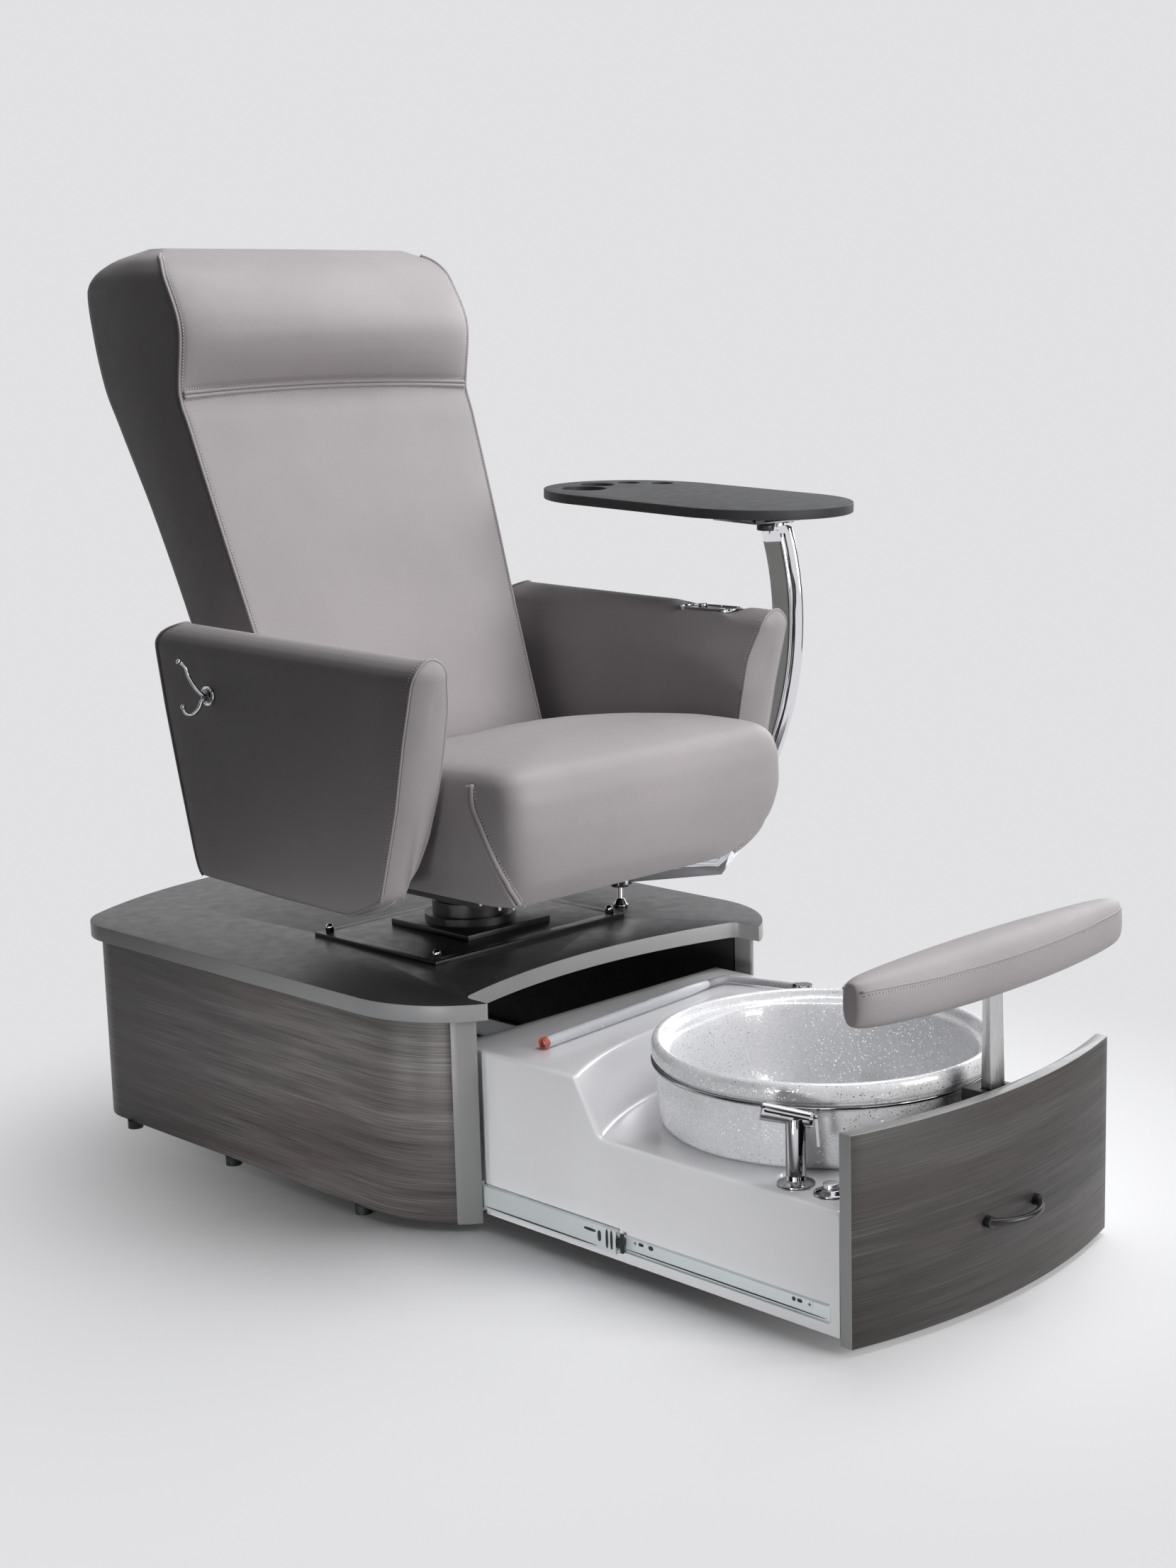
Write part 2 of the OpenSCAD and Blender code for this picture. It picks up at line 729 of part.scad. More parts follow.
module button_cap() {
    color([0.6, 0.6, 0.62])
        translate([button_x, button_y, deck_z + 2 + button_travel + gap])
            cylinder(h = 13 - button_travel, r = button_r);
}

// ---------------------------------------------------------------- drain wand and hose

wand_start = [-224, block_mid_y + 51, block_z + wand_r + gap];
wand_dir = [0.9954, 0.096, 0];
wand_end = wand_start + wand_dir * wand_len;
cone_len = 42;
cone_end = wand_end + wand_dir * cone_len;
gland_at = [258, block_mid_y - 40, block_z];
gland_r = 13;
hose_z = block_z + hose_r + 2;
// Route of the hose from the wand's cone to its gland.
hose_route = [
    [cone_end[0], cone_end[1], wand_start[2]],
    [cone_end[0] + 14, cone_end[1] + 1, wand_start[2]],
    [216, block_mid_y + 86, hose_z + 1],
    [228, block_mid_y + 64, hose_z],
    [237, block_mid_y + 35, hose_z],
    [246, block_mid_y + 4, hose_z],
    [254, block_mid_y - 24, hose_z],
];

module wand_tube() {
    color([0.75, 0.78, 0.8, 0.6]) {
        difference() {
            rod(wand_start + wand_dir * wand_ring_len, wand_end, wand_r);
            rod(wand_start - wand_dir, wand_end - wand_dir * 4, wand_r - 1.5);
        }
        translate(wand_end)
            rotate([0, 90, atan2(wand_dir[1], wand_dir[0])])
                cylinder(h = cone_len, r1 = wand_r, r2 = hose_r + 0.5);
    }
    color([0.8, 0.25, 0.15])
        difference() {
            rod(wand_start, wand_start + wand_dir * wand_ring_len, wand_r);
            rod(wand_start - wand_dir, wand_start + wand_dir * (wand_ring_len + 1), wand_r - 2);
        }
}

// Point on the route at u from 0 to 1, by cubic blending of its points.
function spline(p, u) = let (
        s = min(u, 0.99999) * (len(p) - 1),
        i = floor(s),
        t = s - i,
        a = p[max(i - 1, 0)],
        b = p[i],
        c = p[i + 1],
        d = p[min(i + 2, len(p) - 1)])
    0.5 * (2 * b + (c - a) * t + (2 * a - 5 * b + 4 * c - d) * t * t + (3 * b - 3 * c + d - a) * t * t * t);

function tube_ring(p, u, r, n) = let (
        q = spline(p, u),
        d = spline(p, min(u + 0.01, 1)) - spline(p, max(u - 0.01, 0)),
        t = d / norm(d),
        side = cross([0, 0, 1], t) / norm(cross([0, 0, 1], t)),
        up = cross(t, side))
    [for (k = [0:n - 1]) q + r * (side * cos(360 * k / n) + up * sin(360 * k / n))];

module wand_hose() {
    sides = 8;
    steps = hose_ribs * 2;
    color([0.7, 0.7, 0.72])
        difference() {
            skin([for (i = [0:steps]) tube_ring(hose_route, i / steps,
                i % 2 == 0 ? hose_r : hose_r - rib_depth, sides)]);
            skin([for (i = [-1:25]) let (p = tube_ring(hose_route, min(1, max(0, i / 24)), hose_bore_r, sides))
                i < 0 || i > 24 ? [for (q = p) q + (i < 0 ? -1 : 1) * hose_end_dir(i < 0 ? 0 : 1)] : p]);
        }
}

function hose_end_dir(u) = let (d = spline(hose_route, min(u + 0.01, 1)) - spline(hose_route, max(u - 0.01, 0)))
    d / norm(d);

module hose_gland() {
    run = hose_end_dir(1);
    mouth = spline(hose_route, 1);
    color([0.82, 0.82, 0.84]) {
        translate(gland_at) cylinder(h = 20, r = gland_r);
        rod(mouth, mouth + run * 8, hose_r + 1.5);
    }
}

// ---------------------------------------------------------------- footrest

module footrest_socket() {
    y0 = post_front_y - gap - socket_wall;
    color([0.06, 0.06, 0.06])
        difference() {
            translate([-socket_half_w, y0, socket_bottom_z])
                cube([2 * socket_half_w, moulding_front_y - y0, front_top_z - 3 - socket_bottom_z]);
            translate([-post_w / 2 - gap, post_front_y - gap, socket_bottom_z + 4])
                cube([post_w + 2 * gap, post_d + 2 * gap, front_top_z]);
        }
}

module footrest_post() {
    color([0.66, 0.66, 0.67]) {
        translate([-post_w / 2, post_front_y, post_bottom_z]) cube([post_w, post_d, post_len]);
        translate([-60, pad_y - 22, pad_bottom_z - 5]) cube([120, 44, 5]);
    }
}

module footrest_pad() {
    color([0.62, 0.59, 0.57])
        skin([for (i = [0:16]) let (
                e = cos(180 * i / 16),
                x = -pad_half_l * signed_pow(e, 0.8),
                s = abs(x) / pad_half_l,
                end = sqrt(max(0, 1 - pow(s, 14))),
                d = mix(14, pad_half_d, pow(1 - s * s, 0.75)) * mix(0.55, 1, end),
                bottom = pad_bottom_z + 20 * pow(s, 2.4),
                top = pad_bottom_z + pad_h - 4 * s * s,
                h = (top - bottom) / 2 * mix(0.7, 1, end),
                z = (top + bottom) / 2)
            [for (k = [0:19]) let (a = 360 * k / 20)
                [x, pad_y + d * signed_pow(cos(a), 0.8), z + h * signed_pow(sin(a), 0.75)]]]);
}

// ---------------------------------------------------------------- swivel

module base_plate() {
    color([0.05, 0.05, 0.05])
        difference() {
            translate([-plate_half_w, plate_front_y, plate_z]) cube([2 * plate_half_w, plate_len, plate_thick]);
            plate_bolt_places()
                translate([0, 0, plate_z - 1]) cylinder(h = plate_thick + 2, r = plate_bolt_r + gap);
        }
}

module plate_bolts() {
    color([0.85, 0.85, 0.86])
        plate_bolt_places() {
            translate([0, 0, slab_bottom_z]) cylinder(h = riser_z - slab_bottom_z + 4, r = plate_bolt_r);
            translate([0, 0, riser_z]) cylinder(h = 8, r = 7.5, $fn = 6);
            translate([0, 0, riser_z + 8]) sphere(6.5, $fn = 32);
        }
}

module riser_plate() {
    color([0.05, 0.05, 0.05])
        translate([-90, swivel_y - 95, riser_z]) cube([180, 190, riser_thick]);
}

module swivel_post() {
    color([0.1, 0.1, 0.1])
        translate([0, swivel_y, post_base_z]) {
            cylinder(h = 12, r = 75);
            cylinder(h = hub_bottom_z - post_base_z - gap, r = 62);
            cylinder(h = hub_plate_z - post_base_z - 4, r = swivel_post_r);
        }
}

module swivel_hub() {
    color([0.08, 0.08, 0.08])
        translate([0, swivel_y, 0])
            difference() {
                union() {
                    translate([0, 0, hub_bottom_z]) cylinder(h = hub_plate_z - hub_bottom_z, r = 52);
                    for (z = [hub_bottom_z, hub_bottom_z + 16, hub_bottom_z + 32])
                        translate([0, 0, z]) cylinder(h = 7, r = 57);
                    translate([-hub_plate_w / 2, -hub_plate_len / 2, hub_plate_z])
                        cube([hub_plate_w, hub_plate_len, hub_plate_thick]);
                }
                translate([0, 0, hub_bottom_z - 1])
                    cylinder(h = hub_plate_z - hub_bottom_z - 2, r = swivel_post_r + running_fit);
            }
}

// ---------------------------------------------------------------- seat

board_front_y = 60;
board_back_y = 562;

module seat_board() {
    color([0.12, 0.12, 0.12])
        translate([-board_half_w, board_front_y, board_z])
            cube([2 * board_half_w, board_back_y - board_front_y, board_thick]);
}

module seat_bolts() {
    color([0.7, 0.7, 0.72])
        for (s = [-1, 1], p = [[236, 52], [238, 8], [222, -5], [198, -3]])
            translate([s * p[0], p[1], seat_bottom_z - 7]) cylinder(h = 7, r = 2.5, $fn = 24);
}

module seat_cushion() {
    color([0.62, 0.59, 0.57])
        skin([for (u = [0, .05, .12, .21, .3, .42, .54, .64, .74, .82, .89, .94, .975, 1])
            let (z = mix(seat_bottom_z, seat_top_z, u), back = min(seat_r(z), seat_r(seat_top_z) - 150 * max(0, u - .94)))
            [for (p = flat_ring(z, seat_w(u), seat_f(u), back, mix(12, 6, u), 44))
                let (low = p[2] - seat_fall * smooth((p[1] - 100) / 350) * u * u)
                [p[0], min(p[1], seat_r(low)), low]]]);
}

// ---------------------------------------------------------------- arms

// Front and rear faces of an arm by height.
function arm_front_y(z) = lookup(z, [[463, 170], [470, 140], [491, 92], [529, 70], [572, 58], [647, 41],
    [710, 27], [795, 8], [841, -7], [857, -9]]);
function arm_rear_y(z) = lookup(z, [[470, 534], [717, 595], [840, 620], [862, 610], [874, 585]]);
function arm_roll(z) = arc(arm_out_x - arm_roll_r, z, arm_roll_r, 0, 180, 10);
// Section of the left arm: outer face, roll, inner face; a blade at the front, a box further back.
function arm_blade() = concat(
    [[arm_out_x - 3, arm_low_z], [arm_out_x, 500], [arm_out_x, 640], [arm_out_x, 740]],
    arm_roll(arm_front_top_z - arm_roll_r),
    [[322, 782], [321, 717], [323, 660], [332, 590], [347, 545], [370, 512], [388, 482]]);
function arm_box() = concat(
    [[arm_out_x - 3, arm_low_z + 2], [arm_out_x, 500], [arm_out_x, 640], [arm_out_x, 740]],
    arm_roll(arm_front_top_z + arm_rise - arm_roll_r),
    [[320, 782], [313, 717], [308, 660], [306, 590], [306, 530], [312, 476], [340, arm_low_z + 4]]);
function arm_ring(t) = let (
        a = arm_blade(),
        b = arm_box(),
        f = smooth(t / 0.4),
        edge = 1 - 0.04 * pow(abs(2 * t - 1), 40))
    [for (k = [0:len(a) - 1]) let (
            x = mix(a[k][0], b[k][0], f),
            low = k < 4 || k > 14 ? mix(a[k][1], b[k][1], f) : mix(a[k][1], b[k][1], t),
            z = low + 9 * smooth((t - 0.4) / 0.6) * max(0, 1 - (low - arm_low_z) / 36),
            cx = arm_out_x - arm_roll_r)
        [cx + (x - cx) * edge, mix(arm_front_y(z), arm_rear_y(z), t), z]];

module arm_form() {
    skin(reversed([for (t = [0, .015, .05, .1, .16, .24, .32, .42, .55, .7, .85, .95, .985, 1]) arm_ring(t)]));
}

bezel_x = arm_out_x - arm_roll_r - 8;
bezel_y = 128;
bezel_w = 50;
bezel_l = 122;
bezel_z = arm_front_top_z - 7;
control_x = bezel_x;
control_y = bezel_y + 18;

module oval(w, l, h) {
    for (y = [-1, 1])
        translate([0, y * (l - w) / 2, 0]) cylinder(h = h, r = w / 2);
    translate([-w / 2, -(l - w) / 2, 0]) cube([w, l - w, h]);
}

module arm_right() {
    color([0.62, 0.59, 0.57]) mirror([1, 0, 0]) arm_form();
}

module arm_left() {
    color([0.62, 0.59, 0.57])
        difference() {
            arm_form();
            translate([bezel_x, bezel_y, bezel_z]) oval(bezel_w + 2 * gap, bezel_l + 2 * gap, 60);
        }
}

module arm_brackets() {
    color([0.08, 0.08, 0.08])
        for (s = [-1, 1])
            on_side(s) {
                translate([150, 330, board_z - 5]) cube([195, 60, 5]);
                translate([325, 330, board_z - 1]) cube([20, 60, arm_low_z + 4 - gap - board_z + 1]);
            }
}

module control_bezel() {
    color([0.82, 0.82, 0.84])
        translate([bezel_x, bezel_y, bezel_z])
            difference() {
                oval(bezel_w, bezel_l, 6);
                translate([0, 0, 3]) oval(bezel_w - 8, bezel_l - 8, 6);
                translate([control_x - bezel_x, control_y - bezel_y, 1]) cylinder(h = 9, r = 8 + running_fit);
            }
}

module control_button() {
    color([0.85, 0.85, 0.86])
        translate([control_x, control_y, bezel_z + 3.3]) cylinder(h = 7, r = 8);
}

hook_wire_r = 3.6;
hook_root = [-arm_out_x, 475, 771];
// Routes of the hook's two arms, from the rosette outwards.
hook_high = [for (p = [[-2, 0, 0], [-12, 0, 3], [-20, 5, 14], [-25, 14, 30], [-28, 18, 46], [-36, 23, 55]])
    hook_root + p];
hook_low = [for (p = [[-2, 0, -4], [-12, 1, -6], [-17, 4, -18], [-26, 9, -27], [-35, 13, -24], [-38, 15, -14]])
    hook_root + p];

module purse_hook() {
    color([0.82, 0.82, 0.84]) {
        rod(hook_root, hook_root + [-4, 0, 0], 16);
        for (route = [hook_high, hook_low]) {
            skin([for (i = [0:14]) tube_ring(route, i / 14, hook_wire_r, 10)]);
            translate(route[5]) sphere(5.5, $fn = 20);
        }
    }
}

// ---------------------------------------------------------------- backrest

bracket_t = 6;
bracket_in_x = board_half_w;
bracket_out_x = bracket_in_x + bracket_t;
ear_out_x = bracket_out_x + gap + bracket_t;
cushion_bottom_z = 600;

module recline_brackets() {
    color([0.1, 0.1, 0.1])
        for (s = [-1, 1])
            on_side(s) {
                translate([bracket_in_x, recline_y - 50, board_z]) cube([bracket_t, 100, 40]);
                translate([bracket_in_x, recline_y, recline_z])
                    rotate([0, 90, 0]) cylinder(h = bracket_t, r = 26);
                translate([bracket_in_x, recline_y, recline_z])
                    rotate([0, 90, 0]) cylinder(h = bracket_t * 2 + 4, r = recline_pin_r);
            }
}

module back_frame() {
    color([0.1, 0.1, 0.1]) {
        for (s = [-1, 1])
            on_side(s)
                difference() {
                    union() {
                        translate([bracket_out_x + gap, recline_y, recline_z])
                            rotate([0, 90, 0]) cylinder(h = bracket_t, r = 20);
                        translate([bracket_out_x + gap, recline_y - 20, recline_z])
                            cube([bracket_t, 40, cushion_bottom_z - gap - recline_z]);
                    }
                    translate([bracket_out_x, recline_y, recline_z])
                        rotate([0, 90, 0]) cylinder(h = bracket_t + 2, r = recline_pin_r + running_fit);
                }
        translate([-ear_out_x, recline_y - 50, cushion_bottom_z - gap - 6])
            cube([2 * ear_out_x, back_r(cushion_bottom_z) - recline_y + 64, 6]);
    }
}

back_levels = [600, 625, 700, 861, 1000, 1100, 1174, 1215, 1228, 1242, 1275, 1318, 1365, 1404,
    1430, 1446, 1455];

module back_cushion() {
    color([0.62, 0.59, 0.57])
        skin([for (z = back_levels)
            let (zz = z == 1455 ? back_top_z : z, s = z < 620 ? 0.96 : 1)
            flat_ring(zz, back_w(z) * s, back_f(z), back_r(z), 9, 40, back_crown(z))]);
}

back_board_half_w = 235;

module back_board() {
    levels = [for (z = back_levels) if (z > 610 && z < 1380) z];
    color([0.5, 0.48, 0.46])
        translate([-back_board_half_w, 0, 0])
            rotate([90, 0, 90])
                linear_extrude(2 * back_board_half_w)
                    polygon(concat([for (z = levels) [back_r(z) + gap, z]],
                        [for (z = reversed(levels)) [back_r(z) + gap + 12, z]]));
}

// ---------------------------------------------------------------- tray

eye_top_z = 440;
eye_bottom_z = 392;

// The arm is drawn in its own upright plane: s outwards from the pivot, z up.
arm_bow_r = 640;
arm_bow_s = -322;
arm_bow_z = 830;
function bow_s(z, w) = arm_bow_s + sqrt(pow(arm_bow_r - w, 2) - pow(z - arm_bow_z, 2));
function bow_points(w, z0, z1, n) = [for (i = [0:n]) let (z = mix(z0, z1, i / n)) [bow_s(z, w), z]];
elbow_out = [[171, 400], [200, 436], [246, 498]];
elbow_in = [[213, 503], [187, 458], [156, eye_top_z - 2]];
inlay_low_z = 600;
inlay_high_z = tray_arm_top_z - 26;
inlay_w = 25;

module arm_plane(t) {
    translate([tray_pivot_x, tray_pivot_y, 0])
        rotate([0, 0, tray_arm_heading])
            translate([0, t / 2, 0])
                rotate([90, 0, 0]) linear_extrude(t) children();
}

module tray_arm() {
    color([0.82, 0.82, 0.84])
        difference() {
            union() {
                arm_plane(tray_arm_t)
                    difference() {
                        polygon(concat([[4, eye_bottom_z + 2]], elbow_out, bow_points(0, 560, tray_arm_top_z, 16),
                            reversed(bow_points(50, 600, tray_arm_top_z, 16)), elbow_in, [[4, eye_top_z - 2]]));
                        polygon(concat(bow_points(50 - inlay_w, inlay_low_z, inlay_high_z, 16),
                            reversed(bow_points(54, inlay_low_z, inlay_high_z, 16))));
                    }
                translate([tray_pivot_x, tray_pivot_y, eye_bottom_z])
                    cylinder(h = eye_top_z - eye_bottom_z, r = 24);
                tray_head() translate([0, 0, -8]) cylinder(h = 8 + head_h, r = 16);
            }
            translate([tray_pivot_x, tray_pivot_y, eye_bottom_z - 1])
                cylinder(h = eye_top_z - eye_bottom_z + 2, r = pivot_pin_r + running_fit);
            tray_head() translate([0, 0, -head_pin_in - 2]) cylinder(h = 50, r = head_pin_r + running_fit);
        }
}

module tray_arm_inlay() {
    color([0.42, 0.42, 0.41])
        arm_plane(tray_arm_t - 4)
            polygon(concat(bow_points(50 - inlay_w + 0.1, inlay_low_z + 0.1, inlay_high_z - 0.1, 16),
                reversed(bow_points(50, inlay_low_z + 0.1, inlay_high_z - 0.1, 16))));
}

pivot_pin_r = 10;
head_pin_r = 6;
head_s = bow_s(tray_arm_top_z, 25);
head_x = tray_pivot_x + head_s * cos(tray_arm_heading);
head_y = tray_pivot_y + head_s * sin(tray_arm_heading);

module tray_bracket() {
    color([0.1, 0.1, 0.1])
        translate([tray_pivot_x, tray_pivot_y, 0]) {
            translate([-78, -32, board_z - 10]) cube([110, 64, 10]);
            translate([0, 0, eye_top_z + gap]) cylinder(h = board_z - 10 - eye_top_z - gap, r = 18);
            translate([0, 0, eye_bottom_z - 6]) cylinder(h = board_z - eye_bottom_z, r = pivot_pin_r);
            translate([0, 0, eye_bottom_z - 6]) cylinder(h = 6 - gap, r = 15);
        }
}

glide_r = 13.5;

module glide_foot() {
    color([0.75, 0.75, 0.76])
        translate([tray_pivot_x, tray_pivot_y, platform_top_z + gap]) {
            cylinder(h = 5, r = glide_r);
            translate([0, 0, 5]) cylinder(h = 9, r1 = glide_r - 2, r2 = 7);
            cylinder(h = eye_bottom_z - 6 - platform_top_z - gap, r = 5);
        }
}

head_h = 6;
head_pin_in = 18;
tray_under = tray_rise - tray_thick;
mount_thick = 8;
knob_at = [-46, -18];

// Frame of the arm's head: Z along the tray's pivot, which leans forwards with the tray.
module tray_head() {
    translate([head_x, head_y, tray_arm_top_z])
        rotate([tray_tilt, 0, 0]) children();
}

module tray_mount() {
    color([0.82, 0.82, 0.84])
        tray_head()
            difference() {
                union() {
                    translate([0, 0, head_h + gap]) cylinder(h = tray_under - head_h - gap, r = 30);
                    translate([0, 0, -head_pin_in]) cylinder(h = head_pin_in + head_h + 2, r = head_pin_r);
                    translate([-90, -36, tray_under - mount_thick]) cube([110, 94, mount_thick]);
                }
                translate([knob_at[0], knob_at[1], tray_under - mount_thick - 1])
                    cylinder(h = mount_thick - 1, r = 4 + running_fit);
            }
}

module tray_knob() {
    color([0.03, 0.03, 0.03])
        tray_head()
            translate([knob_at[0], knob_at[1], tray_under - mount_thick - gap]) {
                translate([0, 0, -3]) cylinder(h = 3, r = 9);
                translate([0, 0, -13]) cylinder(h = 10, r = 14.5);
                cylinder(h = mount_thick - 2, r = 4);
            }
}

// Wells round the tray's rear end: compass angle and radius of each.
wells = [[133, 41], [90, 32], [55, 21], [26, 21]];

module tray() {
    color([0.07, 0.07, 0.07])
        tray_head()
            translate([tray_out, tray_back, tray_under])
                difference() {
                    oval(tray_w, tray_len, tray_thick);
                    for (w = wells)
                        translate([0, (tray_len - tray_w) / 2, tray_thick - well_depth])
                            rotate(w[0]) translate([tray_w / 2 - well_rim - w[1], 0, 0])
                                cylinder(h = well_depth + 1, r = w[1]);
                }
}

translate([0, -origin_y, 0]) {
    platform_top();
    side_panel(-1);  // side_panel_right
    side_panel(1);  // side_panel_left
    back_panel();
    stile(-1);  // stile_right
    stile(1);  // stile_left
    inner_board(-1);  // inner_board_right
    inner_board(1);  // inner_board_left
    rear_board();
    levelling_feet();
    slide_outer(-1);  // slide_outer_right
    slide_outer(1);  // slide_outer_left
    base_plate();
    plate_bolts();
    riser_plate();
    swivel_post();
    swivel_hub();
    seat_board();
    seat_bolts();
    seat_cushion();
    arm_right();
    arm_left();
    arm_brackets();
    purse_hook();
    control_bezel();
    control_button();
    recline_brackets();
    tray_bracket();
    glide_foot();
    back_frame();
    back_cushion();
    back_board();
    tray_arm();
    tray_arm_inlay();
    tray_mount();
    tray();
    tray_knob();
    slide_middle(-1);  // slide_middle_right
    slide_middle(1);  // slide_middle_left
    slide_clip(-1);  // slide_clip_right
    slide_clip(1);  // slide_clip_left
    slide_inner(-1);  // slide_inner_right
    slide_inner(1);  // slide_inner_left
    drawer_body();
    drawer_front();
    drawer_handle();
    bowl();
    bowl_ring();
    drain_strainer();
    spray_holder();
    spray_handle();
    spray_lever();
    button_bezel();
    button_cap();
    footrest_socket();
    footrest_post();
    footrest_pad();
    wand_tube();
    wand_hose();
    hose_gland();
}
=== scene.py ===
"""Looks of a pedicure spa chair: upholstery, cabinet, foot-bath drawer, fittings, camera and stage.

The chair faces -Y, +X is the sitter's left, the floor is Z = 0. Shapes are worked out in millimetres with Y counted
from the front of the drawer's opening, and SET_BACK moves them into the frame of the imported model.
"""

import math

import bmesh
import bpy
from mathutils import Matrix, Vector
from mathutils.bvhtree import BVHTree


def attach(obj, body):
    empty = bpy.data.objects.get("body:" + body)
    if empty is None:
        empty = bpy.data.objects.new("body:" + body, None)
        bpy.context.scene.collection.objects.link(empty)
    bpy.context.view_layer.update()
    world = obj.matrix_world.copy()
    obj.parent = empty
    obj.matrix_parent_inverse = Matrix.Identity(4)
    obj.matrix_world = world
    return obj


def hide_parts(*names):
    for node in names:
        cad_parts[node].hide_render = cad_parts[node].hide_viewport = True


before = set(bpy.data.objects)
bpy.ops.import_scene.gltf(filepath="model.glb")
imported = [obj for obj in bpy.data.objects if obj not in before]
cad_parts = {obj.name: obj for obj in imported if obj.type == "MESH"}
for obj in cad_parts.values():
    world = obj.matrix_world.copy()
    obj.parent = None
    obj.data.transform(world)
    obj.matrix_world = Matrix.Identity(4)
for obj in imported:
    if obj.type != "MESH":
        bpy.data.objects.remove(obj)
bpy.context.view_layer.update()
scene = bpy.context.scene
scene.view_settings.view_transform = "Standard"
MM = 0.001
SET_BACK = Vector((0, -0.974, 0))


# ---------- camera

VIEW_SPOT = (-2.5024, -2.5097, 1.2828)
VIEW_AZIMUTH, VIEW_RISE, VIEW_ROLL = -44.24, 10.47, 1.60
LENS, SENSOR_WIDTH, CLIP_END = 54.44, 36, 100


def set_camera():
    """Camera to the right of the sitter, a little above the seat, looking slightly down."""
    azimuth, rise, roll = (math.radians(a) for a in (VIEW_AZIMUTH, VIEW_RISE, VIEW_ROLL))
    back = Vector((math.sin(azimuth) * math.cos(rise), -math.cos(azimuth) * math.cos(rise), math.sin(rise)))
    right = Vector((math.cos(azimuth), math.sin(azimuth), 0))
    up = back.cross(right)
    across = right * math.cos(roll) - up * math.sin(roll)
    upward = right * math.sin(roll) + up * math.cos(roll)
    data = bpy.data.cameras.new("studio_camera")
    data.sensor_width = SENSOR_WIDTH
    data.lens = LENS
    data.clip_end = CLIP_END
    camera = bpy.data.objects.new("studio_camera", data)
    scene.collection.objects.link(camera)
    camera.matrix_world = Matrix((
        (across.x, upward.x, back.x, VIEW_SPOT[0]),
        (across.y, upward.y, back.y, VIEW_SPOT[1] + SET_BACK.y),
        (across.z, upward.z, back.z, VIEW_SPOT[2]),
        (0, 0, 0, 1),
    ))
    scene.camera = camera


set_camera()


# ---------- numbers shared by the pieces

HANDS = (("right", -1), ("left", 1))


def through(table, x):
    """Value at x on a smooth curve through a table of (x, value) that never overshoots its points."""
    if x <= table[0][0]:
        return table[0][1]
    if x >= table[-1][0]:
        return table[-1][1]
    slopes = [(b[1] - a[1]) / (b[0] - a[0]) for a, b in zip(table, table[1:])]

    def tangent(i):
        if i in (0, len(table) - 1):
            return slopes[0 if i == 0 else -1]
        a, b = slopes[i - 1], slopes[i]
        return 0 if a * b <= 0 else 2 * a * b / (a + b)

    i = next(k for k in range(len(slopes)) if x <= table[k + 1][0])
    (x0, y0), (x1, y1) = table[i], table[i + 1]
    h = x1 - x0
    t = (x - x0) / h
    return (y0 * (1 + 2 * t) * (1 - t) ** 2 + h * tangent(i) * t * (1 - t) ** 2
            + y1 * t * t * (3 - 2 * t) + h * tangent(i + 1) * t * t * (t - 1))


def mix(a, b, t):
    return a + (b - a) * t


def ease(t):
    t = min(1, max(0, t))
    return t * t * (3 - 2 * t)


def signed_power(v, p):
    return math.copysign(abs(v) ** p, v)


def spaced(values, parts):
    """The values with each gap between two of them cut into equal parts."""
    fine = [mix(a, b, k / parts) for a, b in zip(values, values[1:]) for k in range(parts)]
    return fine + [values[-1]]


def all_round(count):
    """Angles evenly spread over a full turn."""
    return [math.tau * k / count for k in range(count)]


def mirrored(points, side):
    """Points of the left side, or their mirror images where side is -1."""
    return [(side * x, y, z) for x, y, z in points]


# ---------- materials


def add(material, kind, inputs=None, **fields):
    """A node of that kind, with its settings and its inputs set or linked."""
    made = material.node_tree.nodes.new(kind)
    for key, value in fields.items():
        setattr(made, key, value)
    for key, value in (inputs or {}).items():
        if isinstance(value, bpy.types.NodeSocket):
            material.node_tree.links.new(value, made.inputs[key])
        else:
            made.inputs[key].default_value = value
    return made


def finish_of(name, colour, roughness, metallic=0.0, coat=0.0, coat_roughness=0.08, **sockets):
    """A material with its plain values set; sockets names further inputs with _ for a space."""
    made = bpy.data.materials.new(name)
    made.use_nodes = True
    shader = made.node_tree.nodes["Principled BSDF"]
    shader.inputs["Base Color"].default_value = (*colour, 1)
    shader.inputs["Roughness"].default_value = roughness
    shader.inputs["Metallic"].default_value = metallic
    shader.inputs["Coat Weight"].default_value = coat
    shader.inputs["Coat Roughness"].default_value = coat_roughness
    for key, value in sockets.items():
        shader.inputs[key.replace("_", " ")].default_value = value
    made.diffuse_color = (*colour, 1)
    return made


def shaded(colour, tone):
    return tuple(c * tone for c in colour)


def place(material, scale=(1, 1, 1), turn=(0, 0, 0)):
    """Object coordinates, stretched and turned for a pattern."""
    source = add(material, "ShaderNodeTexCoord").outputs["Object"]
    return add(material, "ShaderNodeMapping", {"Vector": source, "Scale": scale, "Rotation": turn}).outputs["Vector"]


def cloud(material, where, scale, detail=3.0, roughness=0.5):
    return add(material, "ShaderNodeTexNoise",
               {"Vector": where, "Scale": scale, "Detail": detail, "Roughness": roughness}).outputs["Fac"]


def ramp(material, fac, stops):
    """Colours or greys along a factor, as (place, colour) stops."""
    made = add(material, "ShaderNodeValToRGB", {"Fac": fac})
    band = made.color_ramp
    while len(band.elements) < len(stops):
        band.elements.new(1.0)
    for element, (at, colour) in zip(band.elements, stops):
        element.position = at
        element.color = (*colour, 1) if isinstance(colour, tuple) else (colour, colour, colour, 1)
    return made.outputs["Color"]


